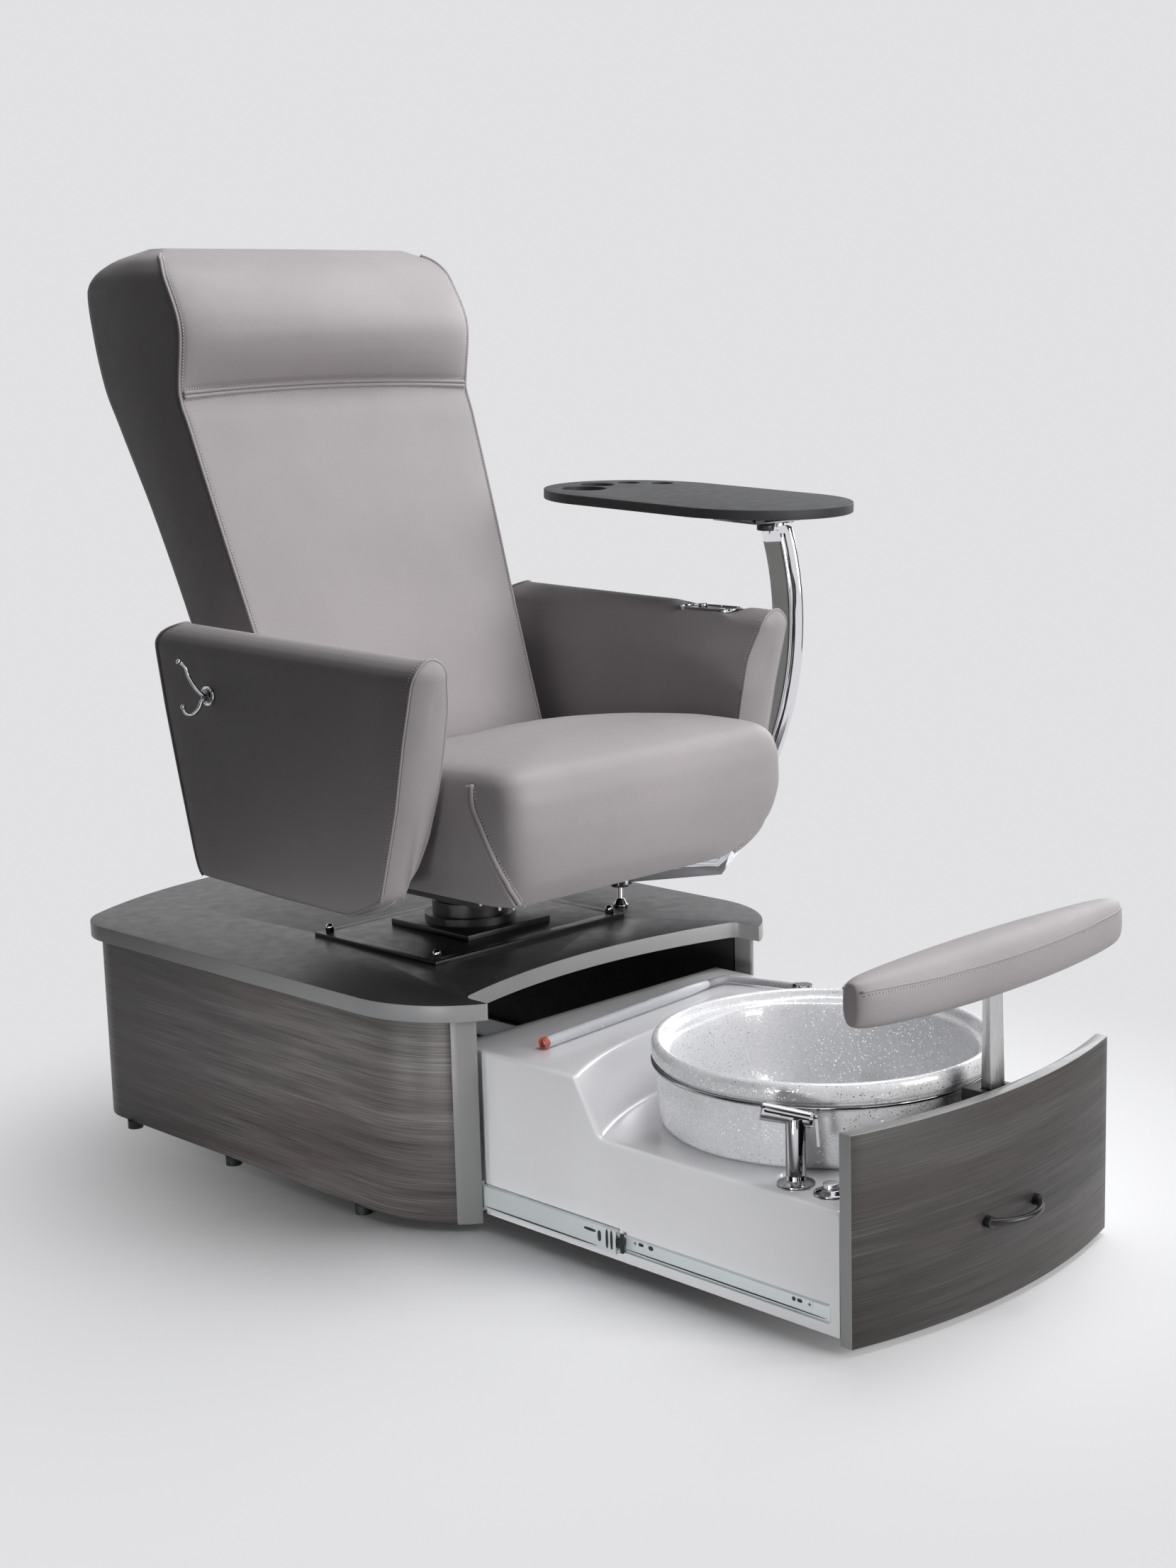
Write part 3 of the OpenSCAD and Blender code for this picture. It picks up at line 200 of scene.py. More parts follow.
def blended(material, a, b, fac, mode="MIX"):
    """Two colours mixed by a factor; each may be a value or a socket."""
    made = add(material, "ShaderNodeMix", data_type="RGBA", blend_type=mode)
    for index, value in ((0, fac), (6, a), (7, b)):
        if isinstance(value, bpy.types.NodeSocket):
            material.node_tree.links.new(value, made.inputs[index])
        elif isinstance(value, tuple):
            made.inputs[index].default_value = (*value, 1)
        else:
            made.inputs[index].default_value = value
    return made.outputs[2]


def give(material, socket, value):
    material.node_tree.links.new(value, material.node_tree.nodes["Principled BSDF"].inputs[socket])


def bumpy(material, height, strength, distance, under=None):
    """Relief from a height, laid over another relief where one is given."""
    inputs = {"Height": height, "Strength": strength, "Distance": distance}
    if under is not None:
        inputs["Normal"] = under
    return add(material, "ShaderNodeBump", inputs).outputs["Normal"]


def leatherette(name, colour):
    """Upholstery vinyl: fine pebble grain, a soft sheen, and faint clouding in its colour."""
    made = finish_of(name, colour, 0.46, Sheen_Weight=0.06, Sheen_Roughness=0.5, Specular_IOR_Level=0.24)
    where = place(made)
    patches = cloud(made, where, 5.0, 4.0)
    tint = ramp(made, patches, [(0.3, shaded(colour, 0.94)), (0.7, shaded(colour, 1.05))])
    specks = ramp(made, cloud(made, where, 900.0, 2.0), [(0.35, 0.86), (0.6, 1.0)])
    give(made, "Base Color", blended(made, tint, specks, 0.6, "MULTIPLY"))
    give(made, "Roughness", ramp(made, cloud(made, where, 60.0, 3.0), [(0.3, 0.42), (0.7, 0.52)]))
    pebbles = add(made, "ShaderNodeTexVoronoi", {"Vector": where, "Scale": 620.0, "Smoothness": 0.6},
                  feature="SMOOTH_F1").outputs["Distance"]
    rumple = bumpy(made, cloud(made, where, 22.0, 3.0), 0.12, 0.002)
    give(made, "Normal", bumpy(made, pebbles, 0.35, 0.0004, rumple))
    return made


def laminate(name, tone=1.0):
    """Grey-brown laminate with an oak grain lying level; tone scales its whole colour, for copies painted lighter or
    darker.
    """
    made = finish_of(name, (0.12, 0.105, 0.1), 0.42, Specular_IOR_Level=0.45)
    wide = place(made, (1.3, 1.3, 22))
    bands = cloud(made, wide, 1.6, 5.0, 0.6)
    fibre = cloud(made, place(made, (2.4, 2.4, 330)), 2.2, 6.0, 0.62)
    pores = cloud(made, place(made, (9, 9, 900)), 1.6, 3.0, 0.5)
    base = ramp(made, bands, [(0.34, (0.052, 0.047, 0.045)), (0.5, (0.1, 0.09, 0.087)), (0.66, (0.165, 0.154, 0.15))])
    streaks = ramp(made, fibre, [(0.38, (0.45, 0.44, 0.43)), (0.52, (1.0, 0.99, 0.98)), (0.64, (1.55, 1.53, 1.51))])
    grain = blended(made, base, streaks, 0.85, "MULTIPLY")
    warm = ramp(made, cloud(made, place(made, (0.9, 0.9, 8), (0.1, 0, 0)), 2.5, 3.0), [(0.45, 0.0), (0.75, 0.55)])
    grain = blended(made, grain, (0.11, 0.08, 0.074), warm)
    lines = ramp(made, pores, [(0.6, 0.0), (0.75, 0.22)])
    grain = blended(made, grain, (0.34, 0.33, 0.32), lines)
    give(made, "Base Color", blended(made, grain, (tone, tone, tone), 1.0, "MULTIPLY"))
    give(made, "Roughness", ramp(made, fibre, [(0.3, 0.5), (0.7, 0.36)]))
    give(made, "Normal", bumpy(made, fibre, 0.25, 0.0003))
    return made


def satin(name, colour, roughness, speck=0.06, scale=1200.0, bump=0.12, metallic=0.0, coat=0.0):
    """A plain sprayed or moulded finish with a fine orange peel and slight unevenness."""
    made = finish_of(name, colour, roughness, metallic=metallic, coat=coat)
    where = place(made)
    uneven = cloud(made, where, 9.0, 4.0)
    give(made, "Base Color", ramp(made, uneven, [(0.3, shaded(colour, 1 - speck)), (0.7, shaded(colour, 1 + speck))]))
    give(made, "Roughness", ramp(made, cloud(made, where, 40.0, 3.0),
                                 [(0.3, max(0.02, roughness - 0.05)), (0.7, roughness + 0.05)]))
    give(made, "Normal", bumpy(made, cloud(made, where, scale, 2.0), bump, 0.0003))
    return made


# Painted reflection on polished plating: the tone of its colour, from where it is seen square on, 0, to where it turns
# away, 1.
CHROME_PAINTED_REFLECTION_TONES = [(0.0, 1.15), (0.05, 0.95), (0.13, 0.14), (0.28, 0.16), (0.4, 0.95), (0.58, 0.55), (0.76, 0.14),
                (1.0, 1.2)]


def polished(name, colour=(0.7, 0.7, 0.72), roughness=0.06, painted_reflection=True):
    """Chrome plate with faint wiping marks; when asked, its colour carries painted reflections that run from pale to
    dark and back towards its edges.
    """
    made = finish_of(name, colour, roughness, metallic=1.0)
    where = place(made)
    if painted_reflection:
        # Painted reflection: the colour turns pale and dark with the angle at which the surface is seen.
        facing = add(made, "ShaderNodeLayerWeight", {"Blend": 0.5}).outputs["Facing"]
        give(made, "Base Color", ramp(made, facing, [(at, shaded(colour, tone)) for at, tone in CHROME_PAINTED_REFLECTION_TONES]))
    wiped = cloud(made, where, 35.0, 5.0)
    give(made, "Roughness", ramp(made, wiped, [(0.35, roughness * 0.6), (0.75, roughness * 1.8)]))
    give(made, "Normal", bumpy(made, cloud(made, where, 14.0, 2.0), 0.04, 0.002))
    return made


def brushed(name, colour, along=(1, 1, 0.03), roughness=0.32):
    """Brushed or drawn metal, its lines along one axis."""
    made = finish_of(name, colour, roughness, metallic=1.0)
    lines = cloud(made, place(made, along), 1400.0, 3.0)
    give(made, "Roughness", ramp(made, lines, [(0.3, roughness - 0.1), (0.7, roughness + 0.12)]))
    give(made, "Base Color", ramp(made, lines, [(0.3, shaded(colour, 0.9)), (0.7, shaded(colour, 1.06))]))
    give(made, "Normal", bumpy(made, lines, 0.15, 0.0002))
    return made


def glittered(name):
    """White gel coat full of silver flakes."""
    made = finish_of(name, (0.74, 0.74, 0.76), 0.2, coat=0.7, coat_roughness=0.05)
    where = place(made)
    cells = add(made, "ShaderNodeTexVoronoi", {"Vector": where, "Scale": 700.0})
    pick = add(made, "ShaderNodeSeparateColor", {"Color": cells.outputs["Color"]})
    flake = ramp(made, pick.outputs["Red"], [(0.91, 0.0), (0.94, 1.0)])
    grit = ramp(made, cloud(made, where, 900.0, 2.0), [(0.3, (0.77, 0.775, 0.79)), (0.65, (0.88, 0.88, 0.895))])
    soft = ramp(made, cloud(made, where, 12.0, 3.0), [(0.3, 0.93), (0.7, 1.0)])
    base = blended(made, grit, soft, 1.0, "MULTIPLY")
    give(made, "Base Color", blended(made, base, (0.95, 0.96, 1.0), flake))
    give(made, "Metallic", flake)
    give(made, "Roughness", ramp(made, pick.outputs["Green"], [(0.0, 0.15), (1.0, 0.4)]))
    give(made, "Normal", bumpy(made, pick.outputs["Blue"], 0.5, 0.0006))
    return made


def clear_plastic(name, colour):
    """Half clear tube wall, a little cloudy."""
    made = finish_of(name, colour, 0.12, Transmission_Weight=0.4, IOR=1.4)
    where = place(made)
    give(made, "Roughness", ramp(made, cloud(made, where, 70.0, 4.0), [(0.3, 0.1), (0.7, 0.28)]))
    give(made, "Normal", bumpy(made, cloud(made, where, 120.0, 2.0), 0.08, 0.0005))
    return made


leather = leatherette("taupe_leatherette", (0.384, 0.357, 0.364))
# Dark colour for the lines under the stitches and in the seams' grooves: painted shade.
seam_painted_shade = satin("painted_seam_shade", (0.17, 0.158, 0.155), 0.6, 0.1, 3000.0, 0.4)
pale_thread = satin("pale_seam_thread", (0.72, 0.7, 0.69), 0.6, 0.1, 3000.0, 0.4)
# The side and back panels take a copy painted brighter and the drawer front a copy painted darker: painted light and
# painted shade for how each face is lit.
side_wood_painted_light = laminate("grey_oak_laminate_painted_light", 1.25)
front_wood_painted_shade = laminate("grey_oak_front_laminate_painted_shade", 0.42)
slab_top = satin("charcoal_laminate", (0.056, 0.056, 0.059), 0.34, 0.05, 1800.0, 0.2)
edge_band = satin("grey_edge_band", (0.34, 0.34, 0.34), 0.38, 0.03, 900.0, 0.1)
stile_grey = satin("grey_stile", (0.28, 0.28, 0.275), 0.4, 0.03, 900.0, 0.1)
# Colour of the dark boards, also used for the marks painted as shade on the slides.
inner_dark = satin("dark_carcass_board_and_painted_shade", (0.02, 0.02, 0.021), 0.6, 0.15, 500.0, 0.2)
# Black powder coat of the steel parts, also used as painted shade on the footrest post's top.
black_coat_and_painted_shade = satin("black_powder_coat_and_painted_shade", (0.012, 0.012, 0.013), 0.32, 0.2, 2200.0, 0.35)
black_gloss = satin("black_gloss", (0.02, 0.02, 0.022), 0.08, 0.1, 900.0, 0.02, coat=1.0)
black_plastic = satin("black_plastic", (0.014, 0.014, 0.015), 0.4, 0.2, 1500.0, 0.2)
tray_plastic = satin("grained_tray_plastic", (0.016, 0.017, 0.019), 0.55, 0.15, 1300.0, 0.9)
gel_coat = satin("white_gel_coat", (0.89, 0.886, 0.9), 0.16, 0.015, 60.0, 0.05, coat=0.6)
# Plating with painted reflections in its colour; the bright plate below has none.
chrome_painted_reflection = polished("chrome_plate")
bright_chrome = polished("bright_chrome_plate", (0.86, 0.86, 0.88), painted_reflection=False)
zinc = satin("zinc_plate", (0.8, 0.85, 0.85), 0.42, 0.02, 700.0, 0.02, metallic=0.45)
alloy = brushed("brushed_alloy", (0.6, 0.6, 0.6))
grey_inlay = satin("grey_inlay", (0.2, 0.2, 0.195), 0.45, 0.05, 900.0, 0.15)
glitter = glittered("glitter_gel_coat")
clear_tube = clear_plastic("clear_tube", (0.86, 0.88, 0.92))
red_ring = satin("red_end_ring", (0.55, 0.1, 0.06), 0.4, 0.1, 900.0, 0.1)
knurled = satin("knurled_chrome", (0.6, 0.6, 0.62), 0.25, 0.1, 1500.0, 0.9, metallic=1.0)
hose_grey = satin("ribbed_hose", (0.42, 0.42, 0.44), 0.35, 0.08, 900.0, 0.1)


# ---------- building helpers


def piece(name, bm, body, *finishes, replaces=(), sharp=None):
    """A finished piece from a bmesh that is already in place, riding on a body."""
    mesh = bpy.data.meshes.new(name)
    bmesh.ops.translate(bm, vec=SET_BACK, verts=bm.verts)
    bm.normal_update()
    bm.to_mesh(mesh)
    bm.free()
    for f in finishes:
        mesh.materials.append(f)
    mesh.shade_smooth()
    if sharp is not None:
        mesh.set_sharp_from_angle(angle=math.radians(sharp))
    made = bpy.data.objects.new(name, mesh)
    scene.collection.objects.link(made)
    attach(made, body)
    if replaces:
        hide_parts(*replaces)
    return made


def lofted(sections, open_ends=False, thin=False):
    """A skin drawn out ring by ring from a circle, in mm. Its ends are closed to a middle point, or straight across
    where they are thin, unless left open."""
    bm = bmesh.new()
    count = len(sections[0])
    ring = bmesh.ops.create_circle(bm, segments=count, radius=1.0)["verts"]
    for v, p in zip(ring, sections[0]):
        v.co = Vector(p) * MM
    first = ring
    for points in sections[1:]:
        edges = [e for v in ring for e in v.link_edges if e.other_vert(v) in set(ring)]
        drawn = bmesh.ops.extrude_edge_only(bm, edges=list(dict.fromkeys(edges)))["geom"]
        fresh = {g for g in drawn if isinstance(g, bmesh.types.BMVert)}
        ring = [next(o for o in (e.other_vert(v) for e in v.link_edges) if o in fresh) for v in ring]
        for v, p in zip(ring, points):
            v.co = Vector(p) * MM
    for loop in () if open_ends else (first, ring):
        cap = bm.faces.new(loop)
        if thin:
            bmesh.ops.triangulate(bm, faces=[cap], ngon_method="BEAUTY")
        else:
            bmesh.ops.poke(bm, faces=[cap])
    bmesh.ops.recalc_face_normals(bm, faces=bm.faces)
    return bm


def turned(profile):
    """A profile of (radius, height) in mm spun about the upright axis."""
    bm = bmesh.new()
    line = [bm.verts.new((r * MM, 0, z * MM)) for r, z in profile]
    edges = [bm.edges.new(pair) for pair in zip(line, line[1:])]
    bmesh.ops.spin(bm, geom=line + edges, cent=(0, 0, 0), axis=(0, 0, 1), angle=math.tau, steps=96, use_merge=True)
    bmesh.ops.remove_doubles(bm, verts=bm.verts, dist=1e-6)
    bmesh.ops.recalc_face_normals(bm, faces=bm.faces)
    return bm


def cord_mesh(points, radius, sides=10):
    """A round rod or welt along points in mm, as a bmesh."""
    curve = bpy.data.curves.new("path", "CURVE")
    curve.dimensions = "3D"
    curve.bevel_depth = radius * MM
    curve.bevel_resolution = max(1, sides // 4)
    curve.use_fill_caps = True
    spline = curve.splines.new("POLY")
    spline.points.add(len(points) - 1)
    for at, p in zip(spline.points, points):
        at.co = (*(Vector(p) * MM), 1)
    holder = bpy.data.objects.new("path", curve)
    scene.collection.objects.link(holder)
    mesh = holder.to_mesh()
    bm = bmesh.new()
    bm.from_mesh(mesh)
    holder.to_mesh_clear()
    bpy.data.objects.remove(holder)
    bpy.data.curves.remove(curve)
    bmesh.ops.remove_doubles(bm, verts=bm.verts, dist=1e-7)
    return bm


def joined(*parts):
    """Several bmeshes as one."""
    whole = bmesh.new()
    for part in parts:
        loose = bpy.data.meshes.new("part")
        part.to_mesh(loose)
        part.free()
        whole.from_mesh(loose)
        bpy.data.meshes.remove(loose)
    return whole


MERGE_DISTANCE, FLAT_ANGLE, FOLD_ANGLE = 2e-6, math.radians(0.25), math.radians(28)


def cad_copy(name):
    """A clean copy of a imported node's mesh, flat faces merged."""
    bm = bmesh.new()
    bm.from_mesh(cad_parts[name].data)
    bmesh.ops.remove_doubles(bm, verts=bm.verts, dist=MERGE_DISTANCE)
    bmesh.ops.dissolve_limit(bm, angle_limit=FLAT_ANGLE, verts=bm.verts, edges=bm.edges)
    bmesh.ops.translate(bm, vec=-SET_BACK, verts=bm.verts)
    return bm


def soften(bm, width, segments, where=None):
    """Rounds the sharp folds of a bmesh by width in mm, or those of them whose middle passes where."""
    folds = [e for e in bm.edges if len(e.link_faces) == 2 and e.calc_face_angle(0) > FOLD_ANGLE
             and (where is None or where((e.verts[0].co + e.verts[1].co) / 2 / MM))]
    bmesh.ops.bevel(bm, geom=folds, offset=width * MM, offset_type="OFFSET", segments=segments, profile=0.5,
                    affect="EDGES", material=-1, clamp_overlap=True)
    return bm


def refined(name, body, finish, width=0.8, segments=2, sharp=40):
    """Stands for a rigid node: the same shape with its edges eased."""
    piece(name + "_finished", soften(cad_copy(name), width, segments), body, finish, replaces=(name,), sharp=sharp)


def dressed(finish, *names):
    """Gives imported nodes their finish."""
    for name in names:
        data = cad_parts[name].data
        data.materials.clear()
        data.materials.append(finish)


def subdivided(made, name):
    """One level of smoothing on a piece."""
    smooth = made.modifiers.new(name, "SUBSURF")
    smooth.levels = smooth.render_levels = 1


# ---------- stage and light

BACKGROUND = (0.755, 0.755, 0.77, 1)
LIT_PAPER, SEEN_PAPER = (0.1, 0.1, 0.103), (0.87, 0.87, 0.88)
CHAIR_MIDDLE = Vector((0, 0, 0.6))
FADE_START, FADE_END, FLOOR_RADIUS = 0.4, 1.4, 30
# The air's light grows from its least to its most as its direction turns towards +X.
AIR_X, AIR_STRENGTH = (-0.25, 0.8), (0.02, 0.62)

# Name, place in metres, side of the square, watts, colour, aim, and spread in degrees.
LAMPS = (
    ("front_softbox", (1.1, -4.6, 1.65), 2.0, 142, (1.0, 0.985, 0.975), CHAIR_MIDDLE, 180),
    ("overhead_softbox", (1.1, -0.6, 4.1), 2.4, 104, (0.97, 0.98, 1.0), CHAIR_MIDDLE, 180),
    ("right_softbox", (4.0, 0.6, 2.0), 2.0, 40, (0.97, 0.98, 1.0), CHAIR_MIDDLE, 180),
    ("low_fill", (-2.5, -1.1, 0.14), 0.4, 1.8, (0.98, 0.99, 1.0), Vector((-0.3, -0.3, 0)), 40),
    ("side_fill", (-2.6, 0.3, 0.12), 0.4, 0.5, (0.98, 0.99, 1.0), Vector((-0.37, 0.3, 0.03)), 24),
)

# Name, place in metres, width and height of each dark card.
DARK_CARDS = (
    ("dark_card_left", (-3.4, 0.4, 1.4), 2.6, 3.4),
    ("dark_card_behind_camera", (-2.6, -4.2, 1.4), 1.3, 3.4),
    ("dark_card_right", (3.2, -2.2, 1.4), 2.2, 3.4),
    ("dark_card_above", (-1.4, -1.6, 3.4), 2.0, 1.4),
)


def shown_to(tree_owner):
    """1 for what the camera sees straight, in a mirror or through something clear, 0 for light on its way."""
    rays = add(tree_owner, "ShaderNodeLightPath").outputs
    shown = rays["Is Camera Ray"]
    for kind in ("Is Glossy Ray", "Is Transmission Ray"):
        shown = add(tree_owner, "ShaderNodeMath", {0: shown, 1: rays[kind]}, operation="MAXIMUM").outputs[0]
    return shown


def stage_piece(name, bm, finish):
    """A piece of the studio, which isn't part of the chair."""
    mesh = bpy.data.meshes.new(name)
    bm.to_mesh(mesh)
    bm.free()
    mesh.materials.append(finish)
    made = bpy.data.objects.new(name, mesh)
    scene.collection.objects.link(made)
    return made


def dark_card(name, spot, width, height):
    """A dark board out of view that only polished parts mirror."""
    bm = bmesh.new()
    bmesh.ops.create_grid(bm, x_segments=1, y_segments=1, size=0.5)
    card = stage_piece(name, bm, finish_of(name, (0.015, 0.015, 0.016), 0.9))
    card.location = Vector(spot) + SET_BACK
    card.scale = (width, height, 1)
    card.rotation_euler = (CHAIR_MIDDLE - Vector(spot)).to_track_quat("Z", "Y").to_euler()
    card.visible_camera = card.visible_diffuse = card.visible_shadow = card.visible_transmission = False


def studio_floor():
    """Paper that gives off less light than it shows, and fades into the backdrop's colour away from the chair."""
    paper = finish_of("studio_paper", (0.76, 0.76, 0.77), 0.75)
    tree = paper.node_tree
    where = add(paper, "ShaderNodeTexCoord").outputs["Object"]
    away = add(paper, "ShaderNodeVectorMath", {0: where}, operation="LENGTH").outputs["Value"]
    far = add(paper, "ShaderNodeMapRange", {"Value": away, "From Min": FADE_START, "From Max": FADE_END},
              interpolation_type="SMOOTHSTEP").outputs["Result"]
    far = add(paper, "ShaderNodeMath", {0: far, 1: shown_to(paper)}, operation="MULTIPLY").outputs[0]
    give(paper, "Base Color", blended(paper, LIT_PAPER, SEEN_PAPER, shown_to(paper)))
    glow = add(paper, "ShaderNodeEmission", {"Color": BACKGROUND}).outputs["Emission"]
    both = add(paper, "ShaderNodeMixShader", {0: far, 1: tree.nodes["Principled BSDF"].outputs["BSDF"], 2: glow})
    tree.links.new(both.outputs["Shader"], tree.nodes["Material Output"].inputs["Surface"])
    disc = bmesh.new()
    bmesh.ops.create_circle(disc, cap_ends=True, segments=96, radius=FLOOR_RADIUS)
    stage_piece("studio_floor", disc, paper).location = SET_BACK


def studio_air():
    """Air that lights the chair from the sitter's left, and shows the backdrop's colour."""
    world = bpy.data.worlds.new("studio_air")
    world.use_nodes = True
    scene.world = world
    air = world.node_tree.nodes["Background"]
    heading = add(world, "ShaderNodeTexCoord").outputs["Generated"]
    east = add(world, "ShaderNodeSeparateXYZ", {0: heading}).outputs["X"]
    reach = {"From Min": AIR_X[0], "From Max": AIR_X[1], "To Min": AIR_STRENGTH[0], "To Max": AIR_STRENGTH[1]}
    level = add(world, "ShaderNodeMapRange", {"Value": east, **reach},
                interpolation_type="SMOOTHSTEP").outputs["Result"]
    air.inputs["Color"].default_value = (0.97, 0.98, 1.0, 1)
    world.node_tree.links.new(level, air.inputs["Strength"])
    seen = add(world, "ShaderNodeBackground", {"Color": BACKGROUND})
    choose = add(world, "ShaderNodeMixShader", {0: shown_to(world), 1: air.outputs[0], 2: seen.outputs[0]})
    world.node_tree.links.new(choose.outputs[0], world.node_tree.nodes["World Output"].inputs["Surface"])


def soft_lamp(name, spot, size, power, colour, aim, spread):
    """A square lamp at a spot in metres, turned to what it lights."""
    data = bpy.data.lights.new(name, "AREA")
    data.shape = "SQUARE"
    data.size = size
    data.energy = power
    data.color = colour
    data.spread = math.radians(spread)
    lamp = bpy.data.objects.new(name, data)
    scene.collection.objects.link(lamp)
    lamp.location = Vector(spot) + SET_BACK
    lamp.rotation_euler = (Vector(spot) - aim).to_track_quat("Z", "Y").to_euler()


studio_floor()
studio_air()
for lamp_row in LAMPS:
    soft_lamp(*lamp_row)
for card_row in DARK_CARDS:
    dark_card(*card_row)


# ---------- seams

STITCH_GAP, STITCH_LENGTH, STITCH_RADIUS, STITCH_SINK = 5.0, 3.5, 0.9, 0.2
SEAM_STEP = 4.0


def laid_on(surface, path, across=0.0):
    """Points in mm moved sideways by across along a surface, and the surface's outward direction at each."""
    points, normals = [], []
    for i, p in enumerate(path):
        at, normal, _, _ = surface.find_nearest(Vector(p) * MM + SET_BACK)
        run = (Vector(path[min(i + 1, len(path) - 1)]) - Vector(path[max(i - 1, 0)])).normalized()
        side = normal.cross(run).normalized()
        moved, normal, _, _ = surface.find_nearest(at + side * across * MM)
        points.append((moved - SET_BACK) / MM)
        normals.append(normal)
    return points, normals


def evenly(path, gap):
    """Points at an even gap along a path in mm."""
    out, left = [Vector(path[0])], gap
    for a, b in zip(path, path[1:]):
        a, b = Vector(a), Vector(b)
        span = (b - a).length
        while span > 1e-9 and left <= span:
            a = a + (b - a) * (left / span)
            out.append(a.copy())
            span = (b - a).length
            left = gap
        left -= span
    return out


def stitches(surface, path, across):
    """A row of sewn stitches beside a seam, as one bmesh."""
    points, normals = laid_on(surface, evenly(path, STITCH_GAP), across)
    bead_size = Matrix.Diagonal((STITCH_LENGTH / 2 * MM, STITCH_RADIUS * MM, STITCH_RADIUS * MM, 1))
    bm = bmesh.new()
    for i in range(1, len(points) - 1):
        run = points[i + 1] - points[i - 1]
        if run.length < 1e-6 or run.length > 3 * STITCH_GAP:
            continue
        run = run.normalized()
        up = normals[i]
        side = up.cross(run).normalized()
        up = run.cross(side)
        bead = bmesh.ops.create_icosphere(bm, subdivisions=1, radius=1.0)["verts"]
        turn = Matrix((run, side, up)).transposed().to_4x4()
        spot = Matrix.Translation((points[i] + up * (STITCH_RADIUS * 0.5 - STITCH_SINK)) * MM)
        bmesh.ops.transform(bm, matrix=spot @ turn @ bead_size, verts=bead)
    return bm


def welt(surface, path, across, radius, sink):
    """A rounded ridge lying on a surface, part sunk in it."""
    points, normals = laid_on(surface, evenly(path, SEAM_STEP), across)
    return cord_mesh([p + n * (radius - sink) for p, n in zip(points, normals)], radius, 8)


def sewn(name, surface, path, across, body):
    """Raised stitches over a dark line painted as the shade of their needle holes."""
    piece(name, stitches(surface, path, across), body, pale_thread)
    points, normals = laid_on(surface, evenly(path, SEAM_STEP), across)
    piece(name + "_painted_shade_line", cord_mesh([p - n * 0.35 for p, n in zip(points, normals)], 0.62, 6), body, seam_painted_shade)


def surface_of(obj):
    """The finished surface of a piece, for seams to lie on."""
    return BVHTree.FromObject(obj, bpy.context.evaluated_depsgraph_get())


# ---------- drain hose, on its own route

DECK, BLOCK = 190.5, 271
WAND_START, WAND_RUN = Vector((-224, -59, 279.8)), Vector((0.9954, 0.096, 0))
WAND_LENGTH, CONE_LENGTH = 356, 42
CONE_END = WAND_START + WAND_RUN * (WAND_LENGTH + CONE_LENGTH)
HOSE_ROUTE = [CONE_END, CONE_END + Vector((14, 1, 0)), Vector((216, -24, 280)), Vector((228, -46, 279)),
              Vector((237, -75, 279)), Vector((246, -106, 279)), Vector((254, -134, 279))]


def blended_route(points, u):
    """Point on a cubic blending curve through the points, u from 0 to 1."""
    s = min(max(u, 0), 0.99999) * (len(points) - 1)
    i = int(s)
    t = s - i
    a, b, c, d = (points[min(max(k, 0), len(points) - 1)] for k in (i - 1, i, i + 1, i + 2))
    return 0.5 * (2 * b + (c - a) * t + (2 * a - 5 * b + 4 * c - d) * t * t + (3 * b - 3 * c + d - a) * t ** 3)


def tube_along(route, radius_at, steps, sides):
    """A rod round a route, its radius worked out step by step."""
    rings = []
    for i in range(steps + 1):
        u = i / steps
        here = blended_route(route, u)
        run = (blended_route(route, u + 0.01) - blended_route(route, u - 0.01)).normalized()
        side = Vector((0, 0, 1)).cross(run).normalized()
        up = run.cross(side)
        rings.append([here + (side * math.cos(a) + up * math.sin(a)) * radius_at(i) for a in all_round(sides)])
    return lofted(rings)


HOSE_RIBS, HOSE_DIAMETER, HOSE_RIB_RADII = 60, 0.012, (6.0, 5.9, 5.2, 5.1, 5.2, 5.9)


def drain_hose():
    """Ribbed hose from the wand's cone to its gland beside the bowl."""
    steps = len(HOSE_RIB_RADII)
    bm = tube_along(HOSE_ROUTE, lambda i: HOSE_RIB_RADII[i % steps], HOSE_RIBS * steps, 20)
    made = piece("drain_hose", bm, "drawer", hose_grey, replaces=("wand_hose",))


drain_hose()


# ---------- seat

SEAT_BOTTOM, SEAT_TOP, SEAT_HALF, SEAT_FRONT, SEAT_FALL = 480, 713, 300, -96, 63
SEAT_WIDTH = [(0, .833), (.09, .875), (.21, .93), (.37, .98), (.54, 1), (.69, 1), (.81, .985), (.87, .958),
              (.905, .915), (.93, .84), (.955, .7), (.985, .45), (1, .25)]
SEAT_LEAN = [(0, 72), (.09, 47), (.21, 21), (.37, 6), (.54, 0), (.69, 1), (.81, 8), (.87, 17), (.905, 28),
             (.93, 42), (.955, 62), (.985, 105), (1, 150)]
SEAT_MIDDLE_Y, SEAT_SQUARENESS, SEAT_POINTS = 165, 12, 176
FALL_START_Y, FALL_LENGTH, TUCK, TUCK_FROM = 100, 350, 150, .94
BACK_FOOT_Y, BACK_FOOT_Z, BACK_LEAN, SEAT_GAP = 426, 600, 0.361, 12


def seat_back(z):
    """Y of the seat's rear, a little short of the backrest's leaning front."""
    return BACK_FOOT_Y + (z - BACK_FOOT_Z) * BACK_LEAN - SEAT_GAP


def oblong(z, half, y0, y1, power, count):
    """A level rounded oblong ring in mm."""
    return [(half * signed_power(math.cos(a), 2 / power),
             (y0 + y1) / 2 + (y1 - y0) / 2 * signed_power(math.sin(a), 2 / power), z) for a in all_round(count)]


